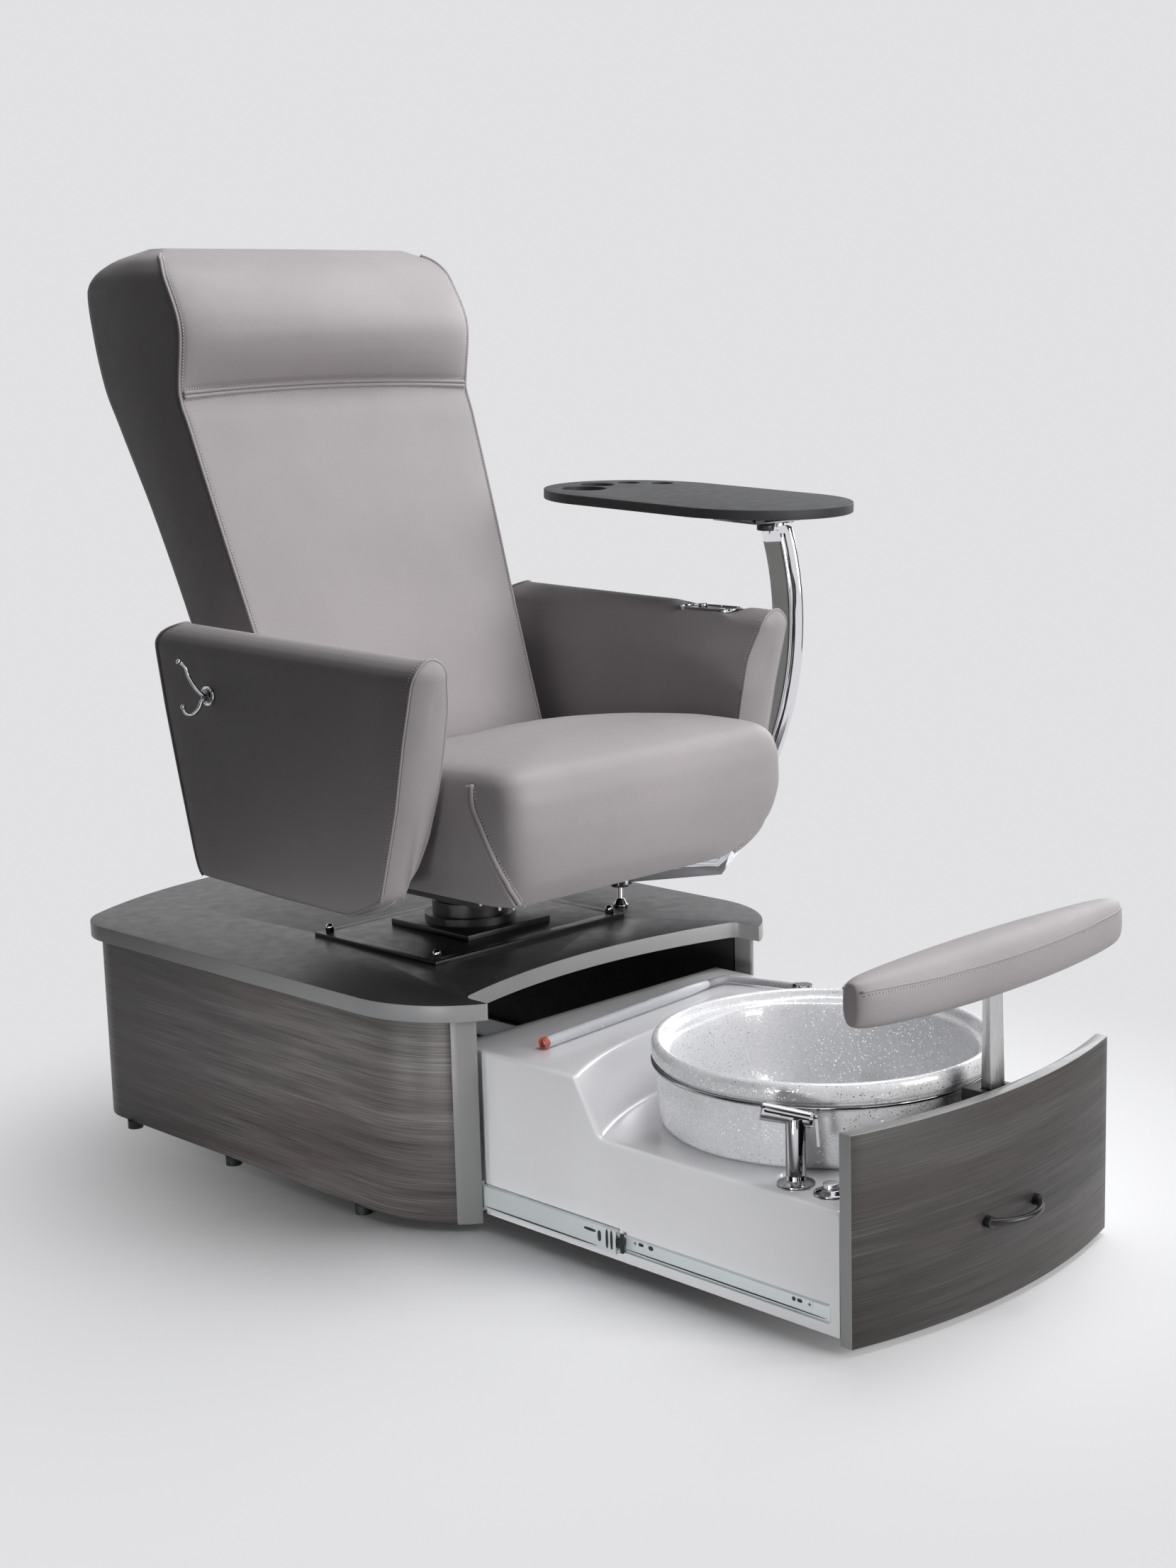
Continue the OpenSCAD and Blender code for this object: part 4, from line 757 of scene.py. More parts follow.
def seat_ring(u, inward=1.0, rise=0.0):
    """Ring of the seat at a share of its height, its rear falling away under the backrest."""
    z = mix(SEAT_BOTTOM, SEAT_TOP, u)
    rear = min(seat_back(z), seat_back(SEAT_TOP) - TUCK * max(0, u - TUCK_FROM))
    half, front = SEAT_HALF * through(SEAT_WIDTH, u), SEAT_FRONT + through(SEAT_LEAN, u)
    ring = []
    for x, y, _ in oblong(z, half, front, rear, SEAT_SQUARENESS, SEAT_POINTS):
        x, y = x * inward, mix(SEAT_MIDDLE_Y, y, inward)
        low = z + rise - SEAT_FALL * ease((y - FALL_START_Y) / FALL_LENGTH) * u * u
        ring.append((x, min(y, seat_back(low)), low))
    return ring


def seat_cushion():
    """Seat with its rounded nose and its top closed over under the backrest."""
    rings = [seat_ring(0, share, 0.5) for share in (.9, .985)]
    rings += [seat_ring(u) for u in spaced([0, .02, .09, .21, .37, .54, .69, .81, .87, .905, .93, .955, .985, 1], 4)]
    rings += [seat_ring(1, share, 3 * (1 - share ** 2)) for share in (.94, .85, .7, .5, .25)]
    made = piece("seat_cushion_cover", lofted(rings), "chair", leather, replaces=("seat_cushion",))
    return made


# Route of the sewn corner seam of the seat, from its rounded top end to the bottom edge.
SEAT_DART = [(288.8, -2.9, 667.1), (292.5, -5, 656.5), (295.5, -8.2, 641.8), (297.2, -13.3, 629.3),
             (297.3, -21.8, 615.9), (296, -31.5, 597.3), (291.7, -39.2, 576.9), (283.8, -44.4, 554.4),
             (273.8, -46, 533.1), (255.6, -38.6, 508.9), (227.3, -20.3, 481.9)]

seat = seat_cushion()
seat_surface = surface_of(seat)
for hand, side in HANDS:
    route = evenly(mirrored(SEAT_DART, side), 6.0)
    ridges = joined(*[welt(seat_surface, route, off, 3.8, 1.3) for off in (3.8, -3.8)])
    piece("seat_dart_" + hand, ridges, "chair", leather)
    # A dark cord in the groove between the two ridges: painted shade.
    piece("seat_dart_groove_painted_shade_" + hand, welt(seat_surface, route, 0, 1.2, 0.3), "chair", seam_painted_shade)
    sewn("seat_dart_outer_stitches_" + hand, seat_surface, route, 8.5, "chair")
    sewn("seat_dart_inner_stitches_" + hand, seat_surface, route, -8.5, "chair")


# ---------- backrest

BACK_FRONT = [(600, 426), (861, 521), (1025, 579), (1174, 632), (1225, 650), (1318, 640), (1404, 677), (1430, 698),
              (1455, 745)]
BACK_REAR = [(600, 600), (700, 636), (861, 692), (1025, 757), (1174, 831), (1237, 862), (1318, 888), (1390, 901),
             (1418, 880), (1436, 845), (1455, 790)]
BACK_HALF = [(600, 262), (861, 279), (1025, 291), (1174, 300), (1237, 303), (1318, 302), (1404, 299), (1436, 285),
             (1455, 250)]
BACK_CROWN = [(600, 8), (900, 14), (1174, 10), (1228, 3), (1240, 18), (1258, 30), (1285, 38), (1325, 42), (1380, 40),
              (1430, 22), (1455, 0)]


BACK_ACROSS, BACK_DEEP, BACK_TOP, BACK_TOP_Y = 72, 26, 1455, 768
HEAD_SEAM_Z, HEAD_SEAM_LIFT, HEAD_SEAM_SPREAD = 1225, 9, 70
GUSSET_BOW, REAR_BOW, REAR_CORNER = 7, 6, 10


def back_ring(z):
    """Level ring of the backrest: crowned front, tight corners at the piping, flat gussets, gently bowed rear."""
    front, rear, half, crown = (through(t, z) for t in (BACK_FRONT, BACK_REAR, BACK_HALF, BACK_CROWN))
    lift = HEAD_SEAM_LIFT * math.exp(-((z - HEAD_SEAM_Z) / HEAD_SEAM_SPREAD) ** 2)
    ring = []
    for k in range(BACK_ACROSS):
        x = mix(-half, half, (k + 0.5) / BACK_ACROSS)
        share = x / half
        ring.append((x, front - crown * max(0, 1 - share ** 2) ** 0.7, z + lift * (1 - share ** 2)))
    for k in range(BACK_DEEP):
        t = (k + 0.5) / BACK_DEEP
        ring.append((half + GUSSET_BOW * math.sin(math.pi * t), mix(front, rear, t), z))
    for k in range(BACK_ACROSS):
        x = mix(half, -half, (k + 0.5) / BACK_ACROSS)
        ring.append((x, rear + REAR_BOW * (1 - (x / half) ** 2) - REAR_CORNER * abs(x / half) ** 12, z))
    for k in range(BACK_DEEP):
        t = (k + 0.5) / BACK_DEEP
        ring.append((-half - GUSSET_BOW * math.sin(math.pi * t), mix(rear, front, t), z))
    return ring


def back_cushion():
    """Backrest with its headrest roll, one cover from the seat to the top."""
    levels = (spaced([600, 608, 640, 861, 1100, 1200], 8) + spaced([1206, 1246], 26) + spaced([1256, 1318, 1404], 8)
              + spaced([1412, 1430, 1446, 1452, 1455], 3))
    rings = [back_ring(z) for z in levels]
    top = rings[-1]
    for share in (.9, .6, .3):
        rings.append([(p[0] * share, mix(BACK_TOP_Y, p[1], share), BACK_TOP + 2 * (1 - share)) for p in top])
    made = piece("back_cushion_cover", lofted(rings), "backrest", leather, replaces=("back_cushion",))
    return made


def back_corner(side, z):
    """Corner between the backrest's front and its gusset, where the piping runs."""
    return (side * through(BACK_HALF, z), through(BACK_FRONT, z), z)


back = back_cushion()
back_surface = surface_of(back)
for hand, side in HANDS:
    rising = [back_corner(side, z) for z in spaced([603, 861, 1100, 1225, 1318, 1404, 1430, 1445], 6)]
    piece("back_piping_" + hand, welt(back_surface, rising, 0, 2.6, 1.0), "backrest", leather)
    sewn("back_piping_stitches_" + hand, back_surface, rising, side * 5.5, "backrest")
across = [(x, 648, 1223 + HEAD_SEAM_LIFT * (1 - (x / 301) ** 2)) for x in range(-296, 297, 8)]
head_seam = joined(*[welt(back_surface, across, off, 3.4, 1.9) for off in (3.6, -3.6)])
piece("headrest_seam", head_seam, "backrest", leather)
# A dark cord in the groove between the two ridges: painted shade.
piece("headrest_groove_painted_shade", welt(back_surface, across, 0, 1.2, 0.2), "backrest", seam_painted_shade)
sewn("headrest_stitches_above", back_surface, across, 9.5, "backrest")
sewn("headrest_stitches_below", back_surface, across, -9.5, "backrest")


# ---------- arms

ARM_OUT, ARM_ROLL, ARM_FRONT_TOP, ARM_RISE, ARM_LOW = 402, 34, 857, 17, 464
ARM_FRONT = [(463, 170), (470, 140), (491, 92), (529, 70), (572, 58), (647, 41), (710, 27), (795, 8), (841, -7),
             (857, -9)]
ARM_REAR = [(470, 534), (717, 595), (840, 620), (862, 610), (874, 585)]
ARM_BLADE_INSIDE = [(322, 782), (321, 717), (323, 660), (332, 590), (347, 545), (370, 512), (388, 482)]
ARM_BOX_INSIDE = [(320, 782), (313, 717), (308, 660), (306, 590), (306, 530), (312, 476), (340, ARM_LOW + 4)]
# How many parts each run of the arm's section is cut into: outside, roll, inside with the bottom.
SECTION_PARTS = (2, 7, 5, 4) + (2,) * 10 + (3, 4, 3, 4, 3, 3, 2, 1)
# Share of the arm's length at which the blade has become a box, and how its bottom rises from there on.
BLADE_END, TAIL_RISE, TAIL_RISE_OVER = 0.4, 9, 36
# How far the outer face gives way in mm, each with the share or the height that it reaches to.
FRONT_GIVE, FRONT_GIVE_TO = 7, 0.11
REAR_GIVE, REAR_GIVE_TO = 4, 0.06
FOOT_GIVE, FOOT_GIVE_TO = 4, 520
CAP_X, CAP_LOW, CAP_HIGH = 362, ARM_LOW + 40, ARM_FRONT_TOP - 36


def arm_outline(bottom, top, inside):
    """Outline of the left arm in X and Z: outer face, rolled top, inner face."""
    roll = [(ARM_OUT - ARM_ROLL + ARM_ROLL * math.cos(math.radians(a)),
             top - ARM_ROLL + ARM_ROLL * math.sin(math.radians(a))) for a in range(0, 181, 18)]
    return [(ARM_OUT - 3, bottom), (ARM_OUT, 500), (ARM_OUT, 640), (ARM_OUT, 740)] + roll + inside


def arm_section(t):
    """Section of the left arm from its front, t = 0, to its rear, t = 1: a blade that widens into a box."""
    blade = arm_outline(ARM_LOW, ARM_FRONT_TOP, ARM_BLADE_INSIDE)
    box = arm_outline(ARM_LOW + 2, ARM_FRONT_TOP + ARM_RISE, ARM_BOX_INSIDE)
    f = ease(t / BLADE_END)
    ring = []
    for k, (a, b) in enumerate(zip(blade, box)):
        low = mix(a[1], b[1], f if k < 4 or k > 14 else t)
        rise = TAIL_RISE * ease((t - BLADE_END) / (1 - BLADE_END))
        z = low + rise * max(0, 1 - (low - ARM_LOW) / TAIL_RISE_OVER)
        ring.append((mix(a[0], b[0], f), mix(through(ARM_FRONT, z), through(ARM_REAR, z), t), z))
    return ring


def fine_section(t):
    """The same section with its runs cut up, so that smoothing keeps their place, and its edges giving way."""
    ring, out = arm_section(t), []
    for p, q, parts in zip(ring, ring[1:] + ring[:1], SECTION_PARTS):
        out += [tuple(mix(a, b, j / parts) for a, b in zip(p, q)) for j in range(parts)]
    ends = FRONT_GIVE * max(0, 1 - t / FRONT_GIVE_TO) ** 2 + REAR_GIVE * max(0, 1 - (1 - t) / REAR_GIVE_TO) ** 2

    def give_way(x, z):
        foot = FOOT_GIVE * (max(0, FOOT_GIVE_TO - z) / (FOOT_GIVE_TO - ARM_LOW)) ** 2
        return (ends + foot) * ease((x - 350) / 40)

    return [(x - give_way(x, z), y, z) for x, y, z in out]


def arm_cap(t, share, bulge, table):
    """The section drawn in towards its own middle line, on the face that closes the arm."""
    ring = []
    for x, y, z in fine_section(t):
        low = mix(min(max(z, CAP_LOW), CAP_HIGH), z, share)
        out = y + through(table, low) - through(table, z) + bulge * (1 - share ** 2)
        ring.append((mix(CAP_X, x, share), out, low))
    return ring


CONTROL_X, CONTROL_Y, CONTROL_HALF = 360, 128, 36
ROLL_FROM, BED_ROUND, BED_UNDER, BED_RIM = 815, 852.3, 847, 852.6


def bedded(p):
    """A point of the left arm's roll, built up round the control's oval plate and pressed in under it."""
    x, y, z = p
    away = math.hypot(x - CONTROL_X, max(0, abs(y - CONTROL_Y) - CONTROL_HALF))
    if z < ROLL_FROM:
        return p
    z = mix(z, max(z, BED_ROUND), 1 - ease((away - 28) / 15))
    return (x, y, min(z, mix(BED_UNDER, BED_RIM, ease((away - 19) / 9))) if away < 34 else z)


def arm(hand, side):
    """Upholstered arm with its front piping and stitches and its rear seam."""
    stations = [0, .006, .02, .05, .09, .115, .14, .17, .2, .23, .26, .29, .32, .35, .38, .45, .52, .6, .68, .76, .84,
                .91, .955, .98, .993, 1]
    rings = [arm_cap(0, share, -9, ARM_FRONT) for share in (.1, .35, .6, .8, .92, .98)]
    rings += [[bedded(p) if side > 0 else p for p in fine_section(t)] for t in stations]
    rings += [arm_cap(1, share, 5, ARM_REAR) for share in (.97, .85, .6, .3)]
    rings = [mirrored(ring, side) for ring in rings]
    made = piece("arm_cover_" + hand, lofted(rings, thin=True), "chair", leather, replaces=("arm_" + hand,))
    subdivided(made, "padding")
    surface = surface_of(made)
    rim = mirrored(arm_section(0.003), side)
    piece("arm_piping_" + hand, welt(surface, rim + rim[:1], 0, 2.3, 0.9), "chair", leather)
    sewn("arm_stitches_" + hand, surface, mirrored(arm_section(0.016), side), 0, "chair")
    tail = mirrored(arm_section(0.985), side)[:15]
    piece("arm_rear_seam_" + hand, welt(surface, tail, 0, 1.6, 0.8), "chair", leather)


for hand, side in HANDS:
    arm(hand, side)


# ---------- footrest pad

PAD_HALF, PAD_BOTTOM, PAD_H, PAD_DEPTH, PAD_Y = 292, 425, 80, 45.5, -695.5


def pad_section(e):
    """Upright section of the pad from one end, e = 1, to the other, e = -1, its ends drawn in."""
    x = -PAD_HALF * signed_power(e, 0.8)
    s = abs(x) / PAD_HALF
    end = math.sqrt(max(0, 1 - s ** 20))
    d = mix(20, PAD_DEPTH, (1 - s * s) ** 0.75) * mix(0.42, 1, end)
    bottom = PAD_BOTTOM + 12 * s ** 2.4
    top = PAD_BOTTOM + PAD_H - 4 * s * s
    h = (top - bottom) / 2 * mix(0.82, 1, end)
    return [(x, PAD_Y + d * signed_power(math.cos(a), 0.8), (top + bottom) / 2 + h * signed_power(math.sin(a), 0.75))
            for a in all_round(48)]


def footrest_pad():
    """Rounded bar pad with a seam and stitches along its top, front and rear."""
    rings = [pad_section(math.cos(math.pi * i / 64)) for i in range(65)]
    made = piece("footrest_pad_cover", lofted(rings), "footrest", leather, replaces=("footrest_pad",))
    surface = surface_of(made)
    for hand, way in (("front", -1), ("rear", 1)):
        seam = [(x, PAD_Y + way * (46 * (1 - (x / 300) ** 2) + 8), 486) for x in range(-286, 287, 8)]
        piece("pad_seam_" + hand, welt(surface, seam, 0, 1.6, 0.8), "footrest", leather)
        sewn("pad_stitches_" + hand, surface, seam, way * 5.0, "footrest")


footrest_pad()


# ---------- cabinet

slab = soften(cad_copy("platform_top"), 1.2, 3)
for f in slab.faces:
    f.material_index = 0 if f.normal.z > 0.9 else 1
piece("platform_slab", slab, "cabinet", slab_top, edge_band, replaces=("platform_top",), sharp=40)
for name in ("side_panel_right", "side_panel_left", "back_panel"):
    refined(name, "cabinet", side_wood_painted_light, width=0.5)
for name in ("stile_right", "stile_left"):
    refined(name, "cabinet", stile_grey)
dressed(inner_dark, "inner_board_right", "inner_board_left", "rear_board", "seat_board")
dressed(zinc, "slide_outer_right", "slide_outer_left", "slide_middle_right", "slide_middle_left",
        "slide_inner_right", "slide_inner_left")
dressed(black_plastic, "levelling_feet", "slide_clip_right", "slide_clip_left")

# Marks on the slides' webs, each as (Y, Z, half length, half height): dark ones are painted shade in the slots'
# openings, the last long thin one of each list a painted shadow line under a flange, and the crosses painted shade in
# the screws' recesses.
INNER_WEB, MIDDLE_WEB, SCREW_FACE = 288.45, 297.45, 289.9
INNER_SLOTS_AND_SHADOW_LINE = [(-316, 55, 5, 2.4), (-335, 55, 4.5, 3.4), (-594, 54, 3, 3), (-604, 54, 4.5, 2.6),
               (-468, 41.2, 182, 1.1)]
MIDDLE_SLOTS_AND_SHADOW_LINE = [(-224, 57.5, 12, 2.3), (-243, 52.5, 3.5, 8), (-258, 52, 2.6, 14), (-267, 52, 2.6, 14),
                (-120, 36.5, 118, 1.2)]
SCREWS = [(-306, 55, 5.6, 5.6), (-622, 54, 5.6, 5.6)]
CROSS_RECESS_SHADES = [(y, z, *half) for y, z, _, _ in SCREWS for half in ((3.2, 0.7), (0.7, 3.2))]


def slide_marks(hand, side):
    """Slot openings and flange shadow lines painted dark as shade, screw heads, and the painted shade of their cross
    recesses, on the webs of one pair of slides.
    """

    def marks(name, x, thick, places, body, finish):
        parts = []
        for y, z, half_long, half_high in places:
            face = [(side * x, y + half_long * signed_power(math.cos(a), 0.75),
                     z + half_high * signed_power(math.sin(a), 0.75)) for a in all_round(28)]
            parts.append(lofted([face, [(p[0] + side * thick, p[1], p[2]) for p in face]]))
        piece(name + hand, joined(*parts), body, finish, sharp=50)

    marks("slide_inner_slot_and_shadow_line_shades_", INNER_WEB, 0.25, INNER_SLOTS_AND_SHADOW_LINE, "drawer", inner_dark)
    marks("slide_inner_screws_", INNER_WEB, 1.5, SCREWS, "drawer", zinc)
    marks("slide_screw_cross_recess_shades_", SCREW_FACE, 0.15, CROSS_RECESS_SHADES, "drawer", inner_dark)
    marks("slide_middle_slot_and_shadow_line_shades_", MIDDLE_WEB, 0.25, MIDDLE_SLOTS_AND_SHADOW_LINE, "slide_middle_" + hand, inner_dark)


for hand, side in HANDS:
    slide_marks(hand, side)


# ---------- swivel, hidden steel and small fittings

dressed(black_coat_and_painted_shade, "swivel_post", "swivel_hub", "arm_brackets", "recline_brackets", "back_frame", "tray_bracket")
dressed(chrome_painted_reflection, "plate_bolts", "seat_bolts", "bowl_ring", "drain_strainer", "spray_lever")
dressed(leather, "back_board")
dressed(grey_inlay, "tray_arm_inlay")
refined("base_plate", "cabinet", black_coat_and_painted_shade, width=1.0)
refined("riser_plate", "cabinet", black_coat_and_painted_shade, width=1.0)
refined("footrest_socket", "drawer", black_coat_and_painted_shade, width=0.6)


def purse_hook():
    """Round rose with a dark domed middle, and two slender wire arms with small balls."""
    root = Vector((-ARM_OUT, 475, 771))
    high = ((-2, 0, 0), (-12, 0, 3), (-20, 5, 14), (-25, 14, 30), (-28, 18, 46), (-36, 23, 55))
    low = ((-2, 0, -4), (-12, 1, -6), (-17, 4, -18), (-26, 9, -27), (-35, 13, -24), (-38, 15, -14))
    parts = []
    for bends in (high, low):
        route = [root + Vector(p) for p in bends]
        parts.append(tube_along(route, lambda i: mix(3.4, 2.5, i / 60), 60, 16))
        ball = bmesh.new()
        bmesh.ops.create_uvsphere(ball, u_segments=20, v_segments=12, radius=4.2 * MM)
        bmesh.ops.translate(ball, vec=route[-1] * MM, verts=ball.verts)
        parts.append(ball)
    onto = Matrix.Translation(root * MM) @ Matrix.Rotation(-math.pi / 2, 4, "Y")
    rose = turned([(0, 0), (16, 0), (16, 2.5), (15, 4), (12.5, 4), (11.5, 3), (0, 3)])
    dome = turned([(0, 2.5), (11.4, 2.5), (11.2, 3.4), (8, 5), (4, 5.8), (0, 6)])
    for bm in (rose, dome):
        bmesh.ops.transform(bm, matrix=onto, verts=bm.verts)
    piece("purse_hook_arms", joined(rose, *parts), "chair", chrome_painted_reflection, replaces=("purse_hook",), sharp=50)
    piece("purse_hook_dome", dome, "chair", black_gloss, sharp=60)


purse_hook()
refined("glide_foot", "chair", chrome_painted_reflection)


# ---------- tray and its arm

BOW_MIDDLE, BOW_RADIUS, BOW_MIDDLE_Z, ELBOW_Z = -322, 640, 830, 560
SWING_X, SWING_Y, SWING_HEADING = 254, 250, math.radians(-38.9)
BOW_RUN = Vector((math.cos(SWING_HEADING), math.sin(SWING_HEADING), 0))
BOW_SIDE = Vector((-math.sin(SWING_HEADING), math.cos(SWING_HEADING), 0))
BOW_HALF_THICK, BOW_EDGE = 12.5, 6
# Rods along the bow: how far inward of its outer edge, how far sunk in its face, radius.
GROOVE, RIDGE = (17, 2.6, 3.2), (22.5, 0.6, 1.7)


def bow_reach(z, inward=0):
    """How far the bow's outer edge, or a line inward of it, stands from the arm's swing axis at a height."""
    return BOW_MIDDLE + math.sqrt((BOW_RADIUS - inward) ** 2 - (z - BOW_MIDDLE_Z) ** 2)


def on_outer_bow(p):
    """True on the outer edge of the tray's arm, above its elbow."""
    return p.z > ELBOW_Z and math.hypot(p.x - SWING_X, p.y - SWING_Y) > bow_reach(p.z) - BOW_EDGE


def bow_rod(side, inward, sink, radius):
    """A rod along the tray arm's bow, part sunk in one of its faces."""
    line = []
    for z in spaced([604, 970], 40):
        out = Vector((SWING_X, SWING_Y, z)) + BOW_RUN * bow_reach(z, inward)
        line.append(out + BOW_SIDE * side * (BOW_HALF_THICK - sink))
    return cord_mesh(line, radius)


arm_bar = soften(cad_copy("tray_arm"), 8, 6, where=on_outer_bow)
soften(arm_bar, 1.0, 2, where=lambda p: not on_outer_bow(p))
piece("tray_arm_bar", arm_bar, "tray_arm", bright_chrome, replaces=("tray_arm",), sharp=50)
for face, side in (("near", -1), ("far", 1)):
    piece("tray_arm_groove_" + face, bow_rod(side, *GROOVE), "tray_arm", black_coat_and_painted_shade)
    piece("tray_arm_ridge_" + face, bow_rod(side, *RIDGE), "tray_arm", bright_chrome)
refined("tray_mount", "tray", chrome_painted_reflection, width=1.0)
refined("tray", "tray", tray_plastic, width=3.5, segments=4, sharp=60)
refined("tray_knob", "tray_knob", black_plastic, width=1.5, segments=3)
refined("control_bezel", "chair", chrome_painted_reflection, width=0.8, segments=3)
# A thin black sheet on the bezel, painted as the shade inside the slot's opening.
slot = [(x + CONTROL_X, y, z) for x, y, z in oblong(853.05, 3.2, 96, 110, 3, 32)]
piece("control_slot_painted_shade", lofted([slot, [(x, y, 853.9) for x, y, _ in slot]]), "chair", black_gloss, sharp=50)
refined("control_button", "control_button", chrome_painted_reflection, width=1.2, segments=3)


# ---------- drawer

MOULD_HALF, MOULD_FRONT, MOULD_BACK, MOULD_FOOT = 287.3, -670, 65, 20
WALL_MIDDLE, WALL_FOOT_R, WALL_TOP_R = -660, 510, 550
MOULD_EDGE, HOLLOW_RADIUS, BROW_RADIUS = 6, 14, 9
BOWL_Y, BOWL_HOLE = -405, 215


def rounded_corner(before, corner, after, radius):
    """Seven points of an arc that rounds the corner between two others."""
    a, c, b = (Vector(p) for p in (before, corner, after))
    to_a, to_b = (a - c).normalized(), (b - c).normalized()
    half = to_a.angle(to_b) / 2
    reach = radius / math.tan(half)
    middle = c + (to_a + to_b).normalized() * radius / math.sin(half)
    start, end = c + to_a * reach - middle, c + to_b * reach - middle
    turn = start.angle_signed(end)
    return [tuple(middle + Matrix.Rotation(-turn * k / 6, 2) @ start) for k in range(7)]


def moulding_profile(x):
    """Height along Y of the moulding's top at x: deck, concave wall with its fillets, block."""
    foot = WALL_MIDDLE + math.sqrt(WALL_FOOT_R ** 2 - x * x)
    brink = WALL_MIDDLE + math.sqrt(WALL_TOP_R ** 2 - x * x)
    hollow = rounded_corner((MOULD_FRONT, DECK), (foot, DECK), (brink, BLOCK), HOLLOW_RADIUS)
    brow = rounded_corner((foot, DECK), (brink, BLOCK), (MOULD_BACK, BLOCK), BROW_RADIUS)
    deck = [(mix(MOULD_FRONT + 5, hollow[0][0], k / 40), DECK) for k in range(40)]
    wall = [tuple(mix(a, b, k / 6) for a, b in zip(hollow[-1], brow[0])) for k in range(1, 6)]
    block = [(mix(brow[-1][0], MOULD_BACK - 5, k / 12), BLOCK) for k in range(1, 13)]
    front = [(MOULD_FRONT, MOULD_FOOT), (MOULD_FRONT, DECK - 5), (MOULD_FRONT + 1.5, DECK - 1.5)]
    rear = [(MOULD_BACK - 1.5, BLOCK - 1.5), (MOULD_BACK, BLOCK - 5), (MOULD_BACK, MOULD_FOOT)]
    return front + deck + hollow + wall + brow + block + rear


def drawer_moulding():
    """White moulding with rounded side edges, open below and where the bowl goes through its deck."""
    columns = [(-MOULD_HALF, None)]
    columns += [(-MOULD_HALF + MOULD_EDGE * (1 - math.cos(a)), MOULD_EDGE * (1 - math.sin(a)))
                for a in (math.pi / 2 * k / 5 for k in range(6))]
    columns += [(mix(-MOULD_HALF + MOULD_EDGE, MOULD_HALF - MOULD_EDGE, k / 48), 0) for k in range(1, 48)]
    columns += [(-x, drop) for x, drop in reversed(columns[:7])]
    bm = bmesh.new()
    lines = []
    for x, drop in columns:
        line = []
        for y, z in moulding_profile(min(abs(x), MOULD_HALF - MOULD_EDGE)):
            z = MOULD_FOOT if drop is None else max(MOULD_FOOT, z - drop)
            line.append(bm.verts.new(Vector((x, y, z)) * MM))
        lines.append(line)
    for a, b in zip(lines, lines[1:]):
        for k in range(len(a) - 1):
            bm.faces.new((a[k], a[k + 1], b[k + 1], b[k]))
    bmesh.ops.remove_doubles(bm, verts=bm.verts, dist=1e-5)
    bowl_middle = Vector((0, BOWL_Y, DECK)) * MM
    under = [f for f in bm.faces if abs(f.calc_center_median().z - bowl_middle.z) < 0.01 * MM
             and (f.calc_center_median() - bowl_middle).xy.length < BOWL_HOLE * MM]
    bmesh.ops.delete(bm, geom=under, context="FACES")
    bmesh.ops.recalc_face_normals(bm, faces=bm.faces)
    piece("drawer_moulding", bm, "drawer", gel_coat, replaces=("drawer_body",), sharp=60)


def foot_bowl():
    """Bowl with a rolled rim, an inner ledge that widens towards the back, and a dished basin."""
    outside = [(204, 186), (231, 190.6), (234, 193), (236, 215), (239, 250), (240.5, 276), (240.5, 283), (242, 286),
               (245.5, 288), (246, 298), (245, 306), (242.5, 311), (238.5, 313), (234, 312.3), (231, 309)]
    inside = [(228.5, 303, 0.1), (226, 299, 0.5), (222, 297, 1), (219, 294, 1), (216.5, 287, 1), (212, 262, .8),
              (207, 235, .5), (200, 205, .2), (190, 178, 0), (176, 158, 0), (150, 146, 0), (110, 140, 0), (60, 134, 0),
              (24.4, 130.4, 0)]

    def ledge(a):
        degrees = math.degrees(a)
        return 16 * math.exp(-((degrees - 97) / 24) ** 2) + 13 * math.exp(-((degrees - 38) / 18) ** 2)

    rings = []
    for r, z, share in [(r, z, 0) for r, z in outside] + inside:
        reach = [(a, r - share * ledge(a)) for a in all_round(144)]
        rings.append([(out * math.cos(a), BOWL_Y + out * math.sin(a), z) for a, out in reach])
    made = piece("foot_bowl", lofted(rings, open_ends=True), "drawer", glitter, replaces=("bowl",))
    subdivided(made, "smoothing")


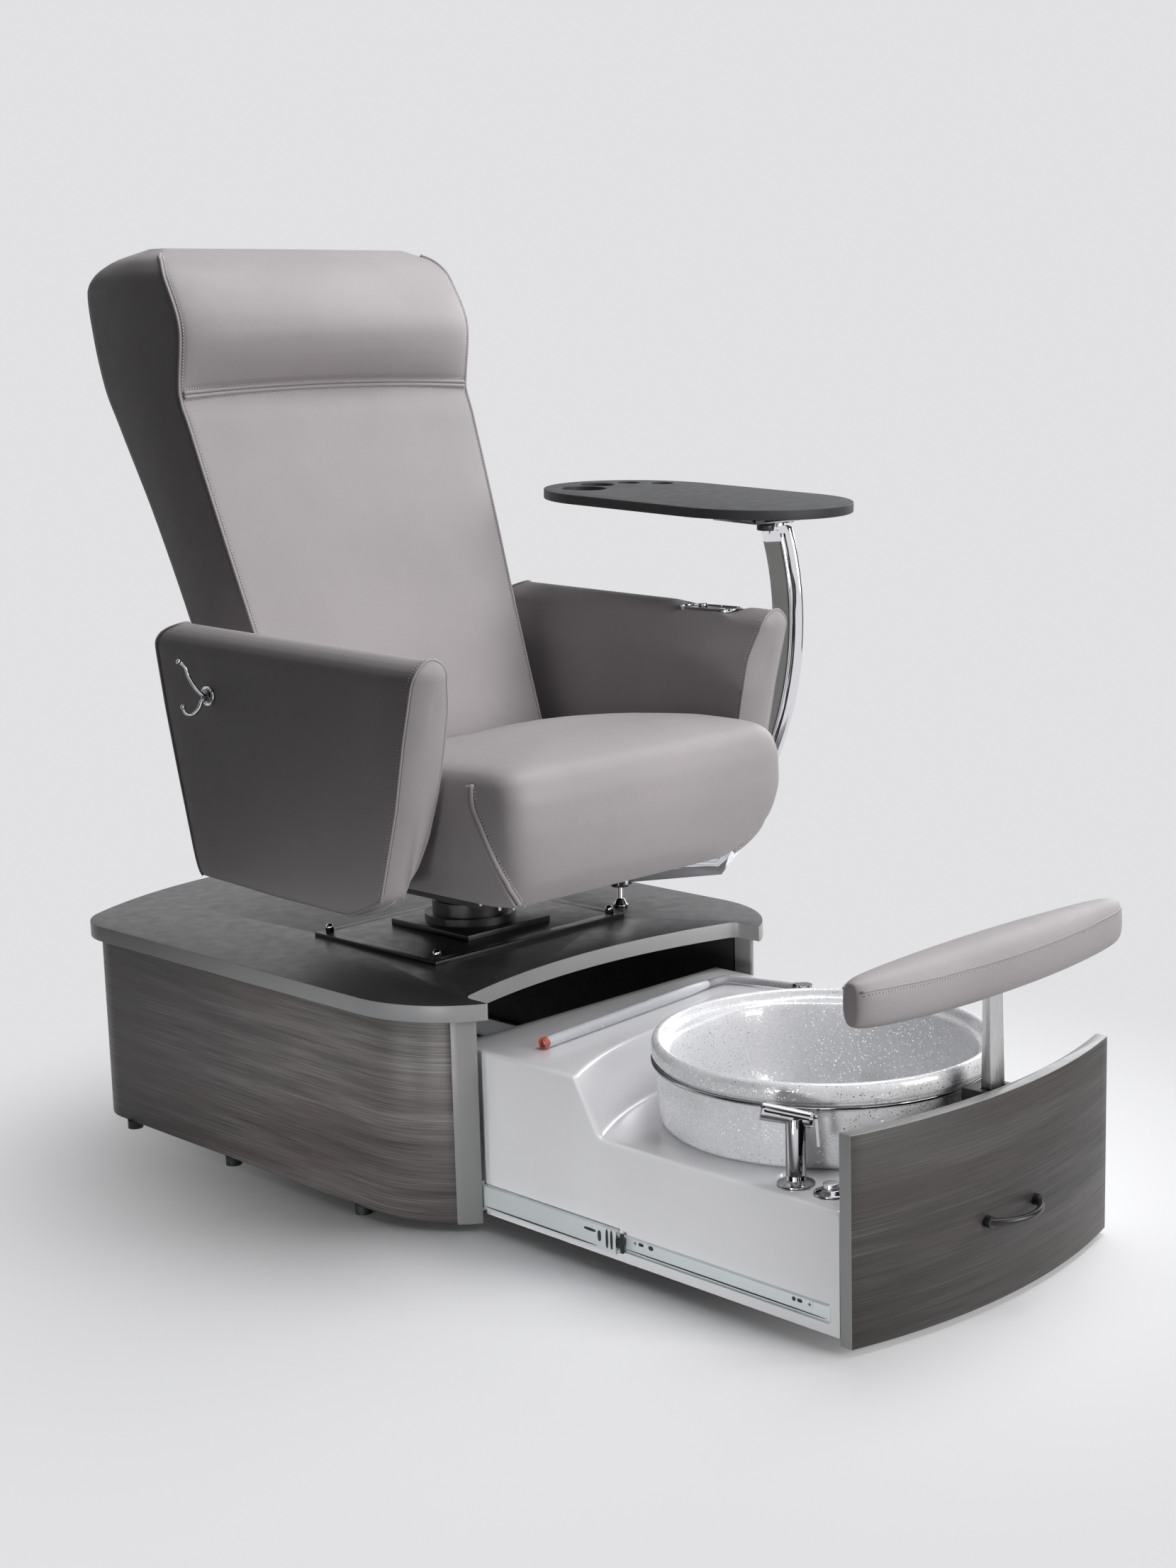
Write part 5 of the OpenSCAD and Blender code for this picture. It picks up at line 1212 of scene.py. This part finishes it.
def drain_wand():
    """Clear wand with its cone, its red end ring a piece of its own."""
    up = Vector((0, 0, 1))
    side = up.cross(WAND_RUN).normalized()
    tip = WAND_LENGTH + CONE_LENGTH

    def rings(places):
        return [[WAND_START + WAND_RUN * at + (side * math.cos(a) + up * math.sin(a)) * radius for a in all_round(28)]
                for at, radius in places]

    tube = lofted(rings([(9, 7), (9, 8.3), (10, 8.5), (150, 8.5), (WAND_LENGTH - 2, 8.5), (WAND_LENGTH, 8.3),
                         (tip - 1, 6.6), (tip, 6.2)]))
    piece("drain_wand", tube, "drawer", clear_tube, replaces=("wand_tube",), sharp=50)
    cap = lofted(rings([(8, 5.5), (0.8, 5.5), (0, 6.2), (0, 7.8), (0.8, 8.6), (8.6, 8.6), (9, 8.2)]), open_ends=True)
    piece("wand_end_ring", cap, "drawer", red_ring, sharp=50)


drawer_moulding()
foot_bowl()
drain_wand()
front_board = soften(cad_copy("drawer_front"), 0.8, 2)
for f in front_board.faces:
    f.material_index = 0 if abs(f.normal.y) > 0.8 and abs(f.normal.z) < 0.3 else 1
piece("drawer_front_board", front_board, "drawer", front_wood_painted_shade, edge_band, replaces=("drawer_front",), sharp=40)
refined("drawer_handle", "drawer", black_coat_and_painted_shade, width=0.8)
refined("spray_holder", "drawer", chrome_painted_reflection, width=0.8)
refined("spray_handle", "hand_spray", chrome_painted_reflection, width=0.8)
refined("button_bezel", "drawer", chrome_painted_reflection, width=0.8, segments=3)
refined("button_cap", "air_button", knurled, width=1.0, segments=3)
GLAND_TOP = 284 * MM
POST_DARK_TOP, PLATE_Y, PLATE_LIFT, PLATE_WIDTH, PLATE_DEPTH = 417 * MM, -695 * MM, 8 * MM, 0.8, 0.7
gland = soften(cad_copy("hose_gland"), 0.8, 2)
for v in gland.verts:
    v.co.z = min(v.co.z, GLAND_TOP)
piece("hose_gland_finished", gland, "drawer", chrome_painted_reflection, replaces=("hose_gland",), sharp=40)
post = soften(cad_copy("footrest_post"), 1.2, 2)
# Faces of the post's top take the black finish as painted shade under the pad, and that top is drawn in and lifted.
for f in post.faces:
    f.material_index = 1 if f.calc_center_median().z > POST_DARK_TOP else 0
for v in post.verts:
    if v.co.z > POST_DARK_TOP:
        v.co = Vector((v.co.x * PLATE_WIDTH, mix(PLATE_Y, v.co.y, PLATE_DEPTH), v.co.z + PLATE_LIFT))
piece("footrest_post_finished", post, "footrest", alloy, black_coat_and_painted_shade, replaces=("footrest_post",), sharp=40)
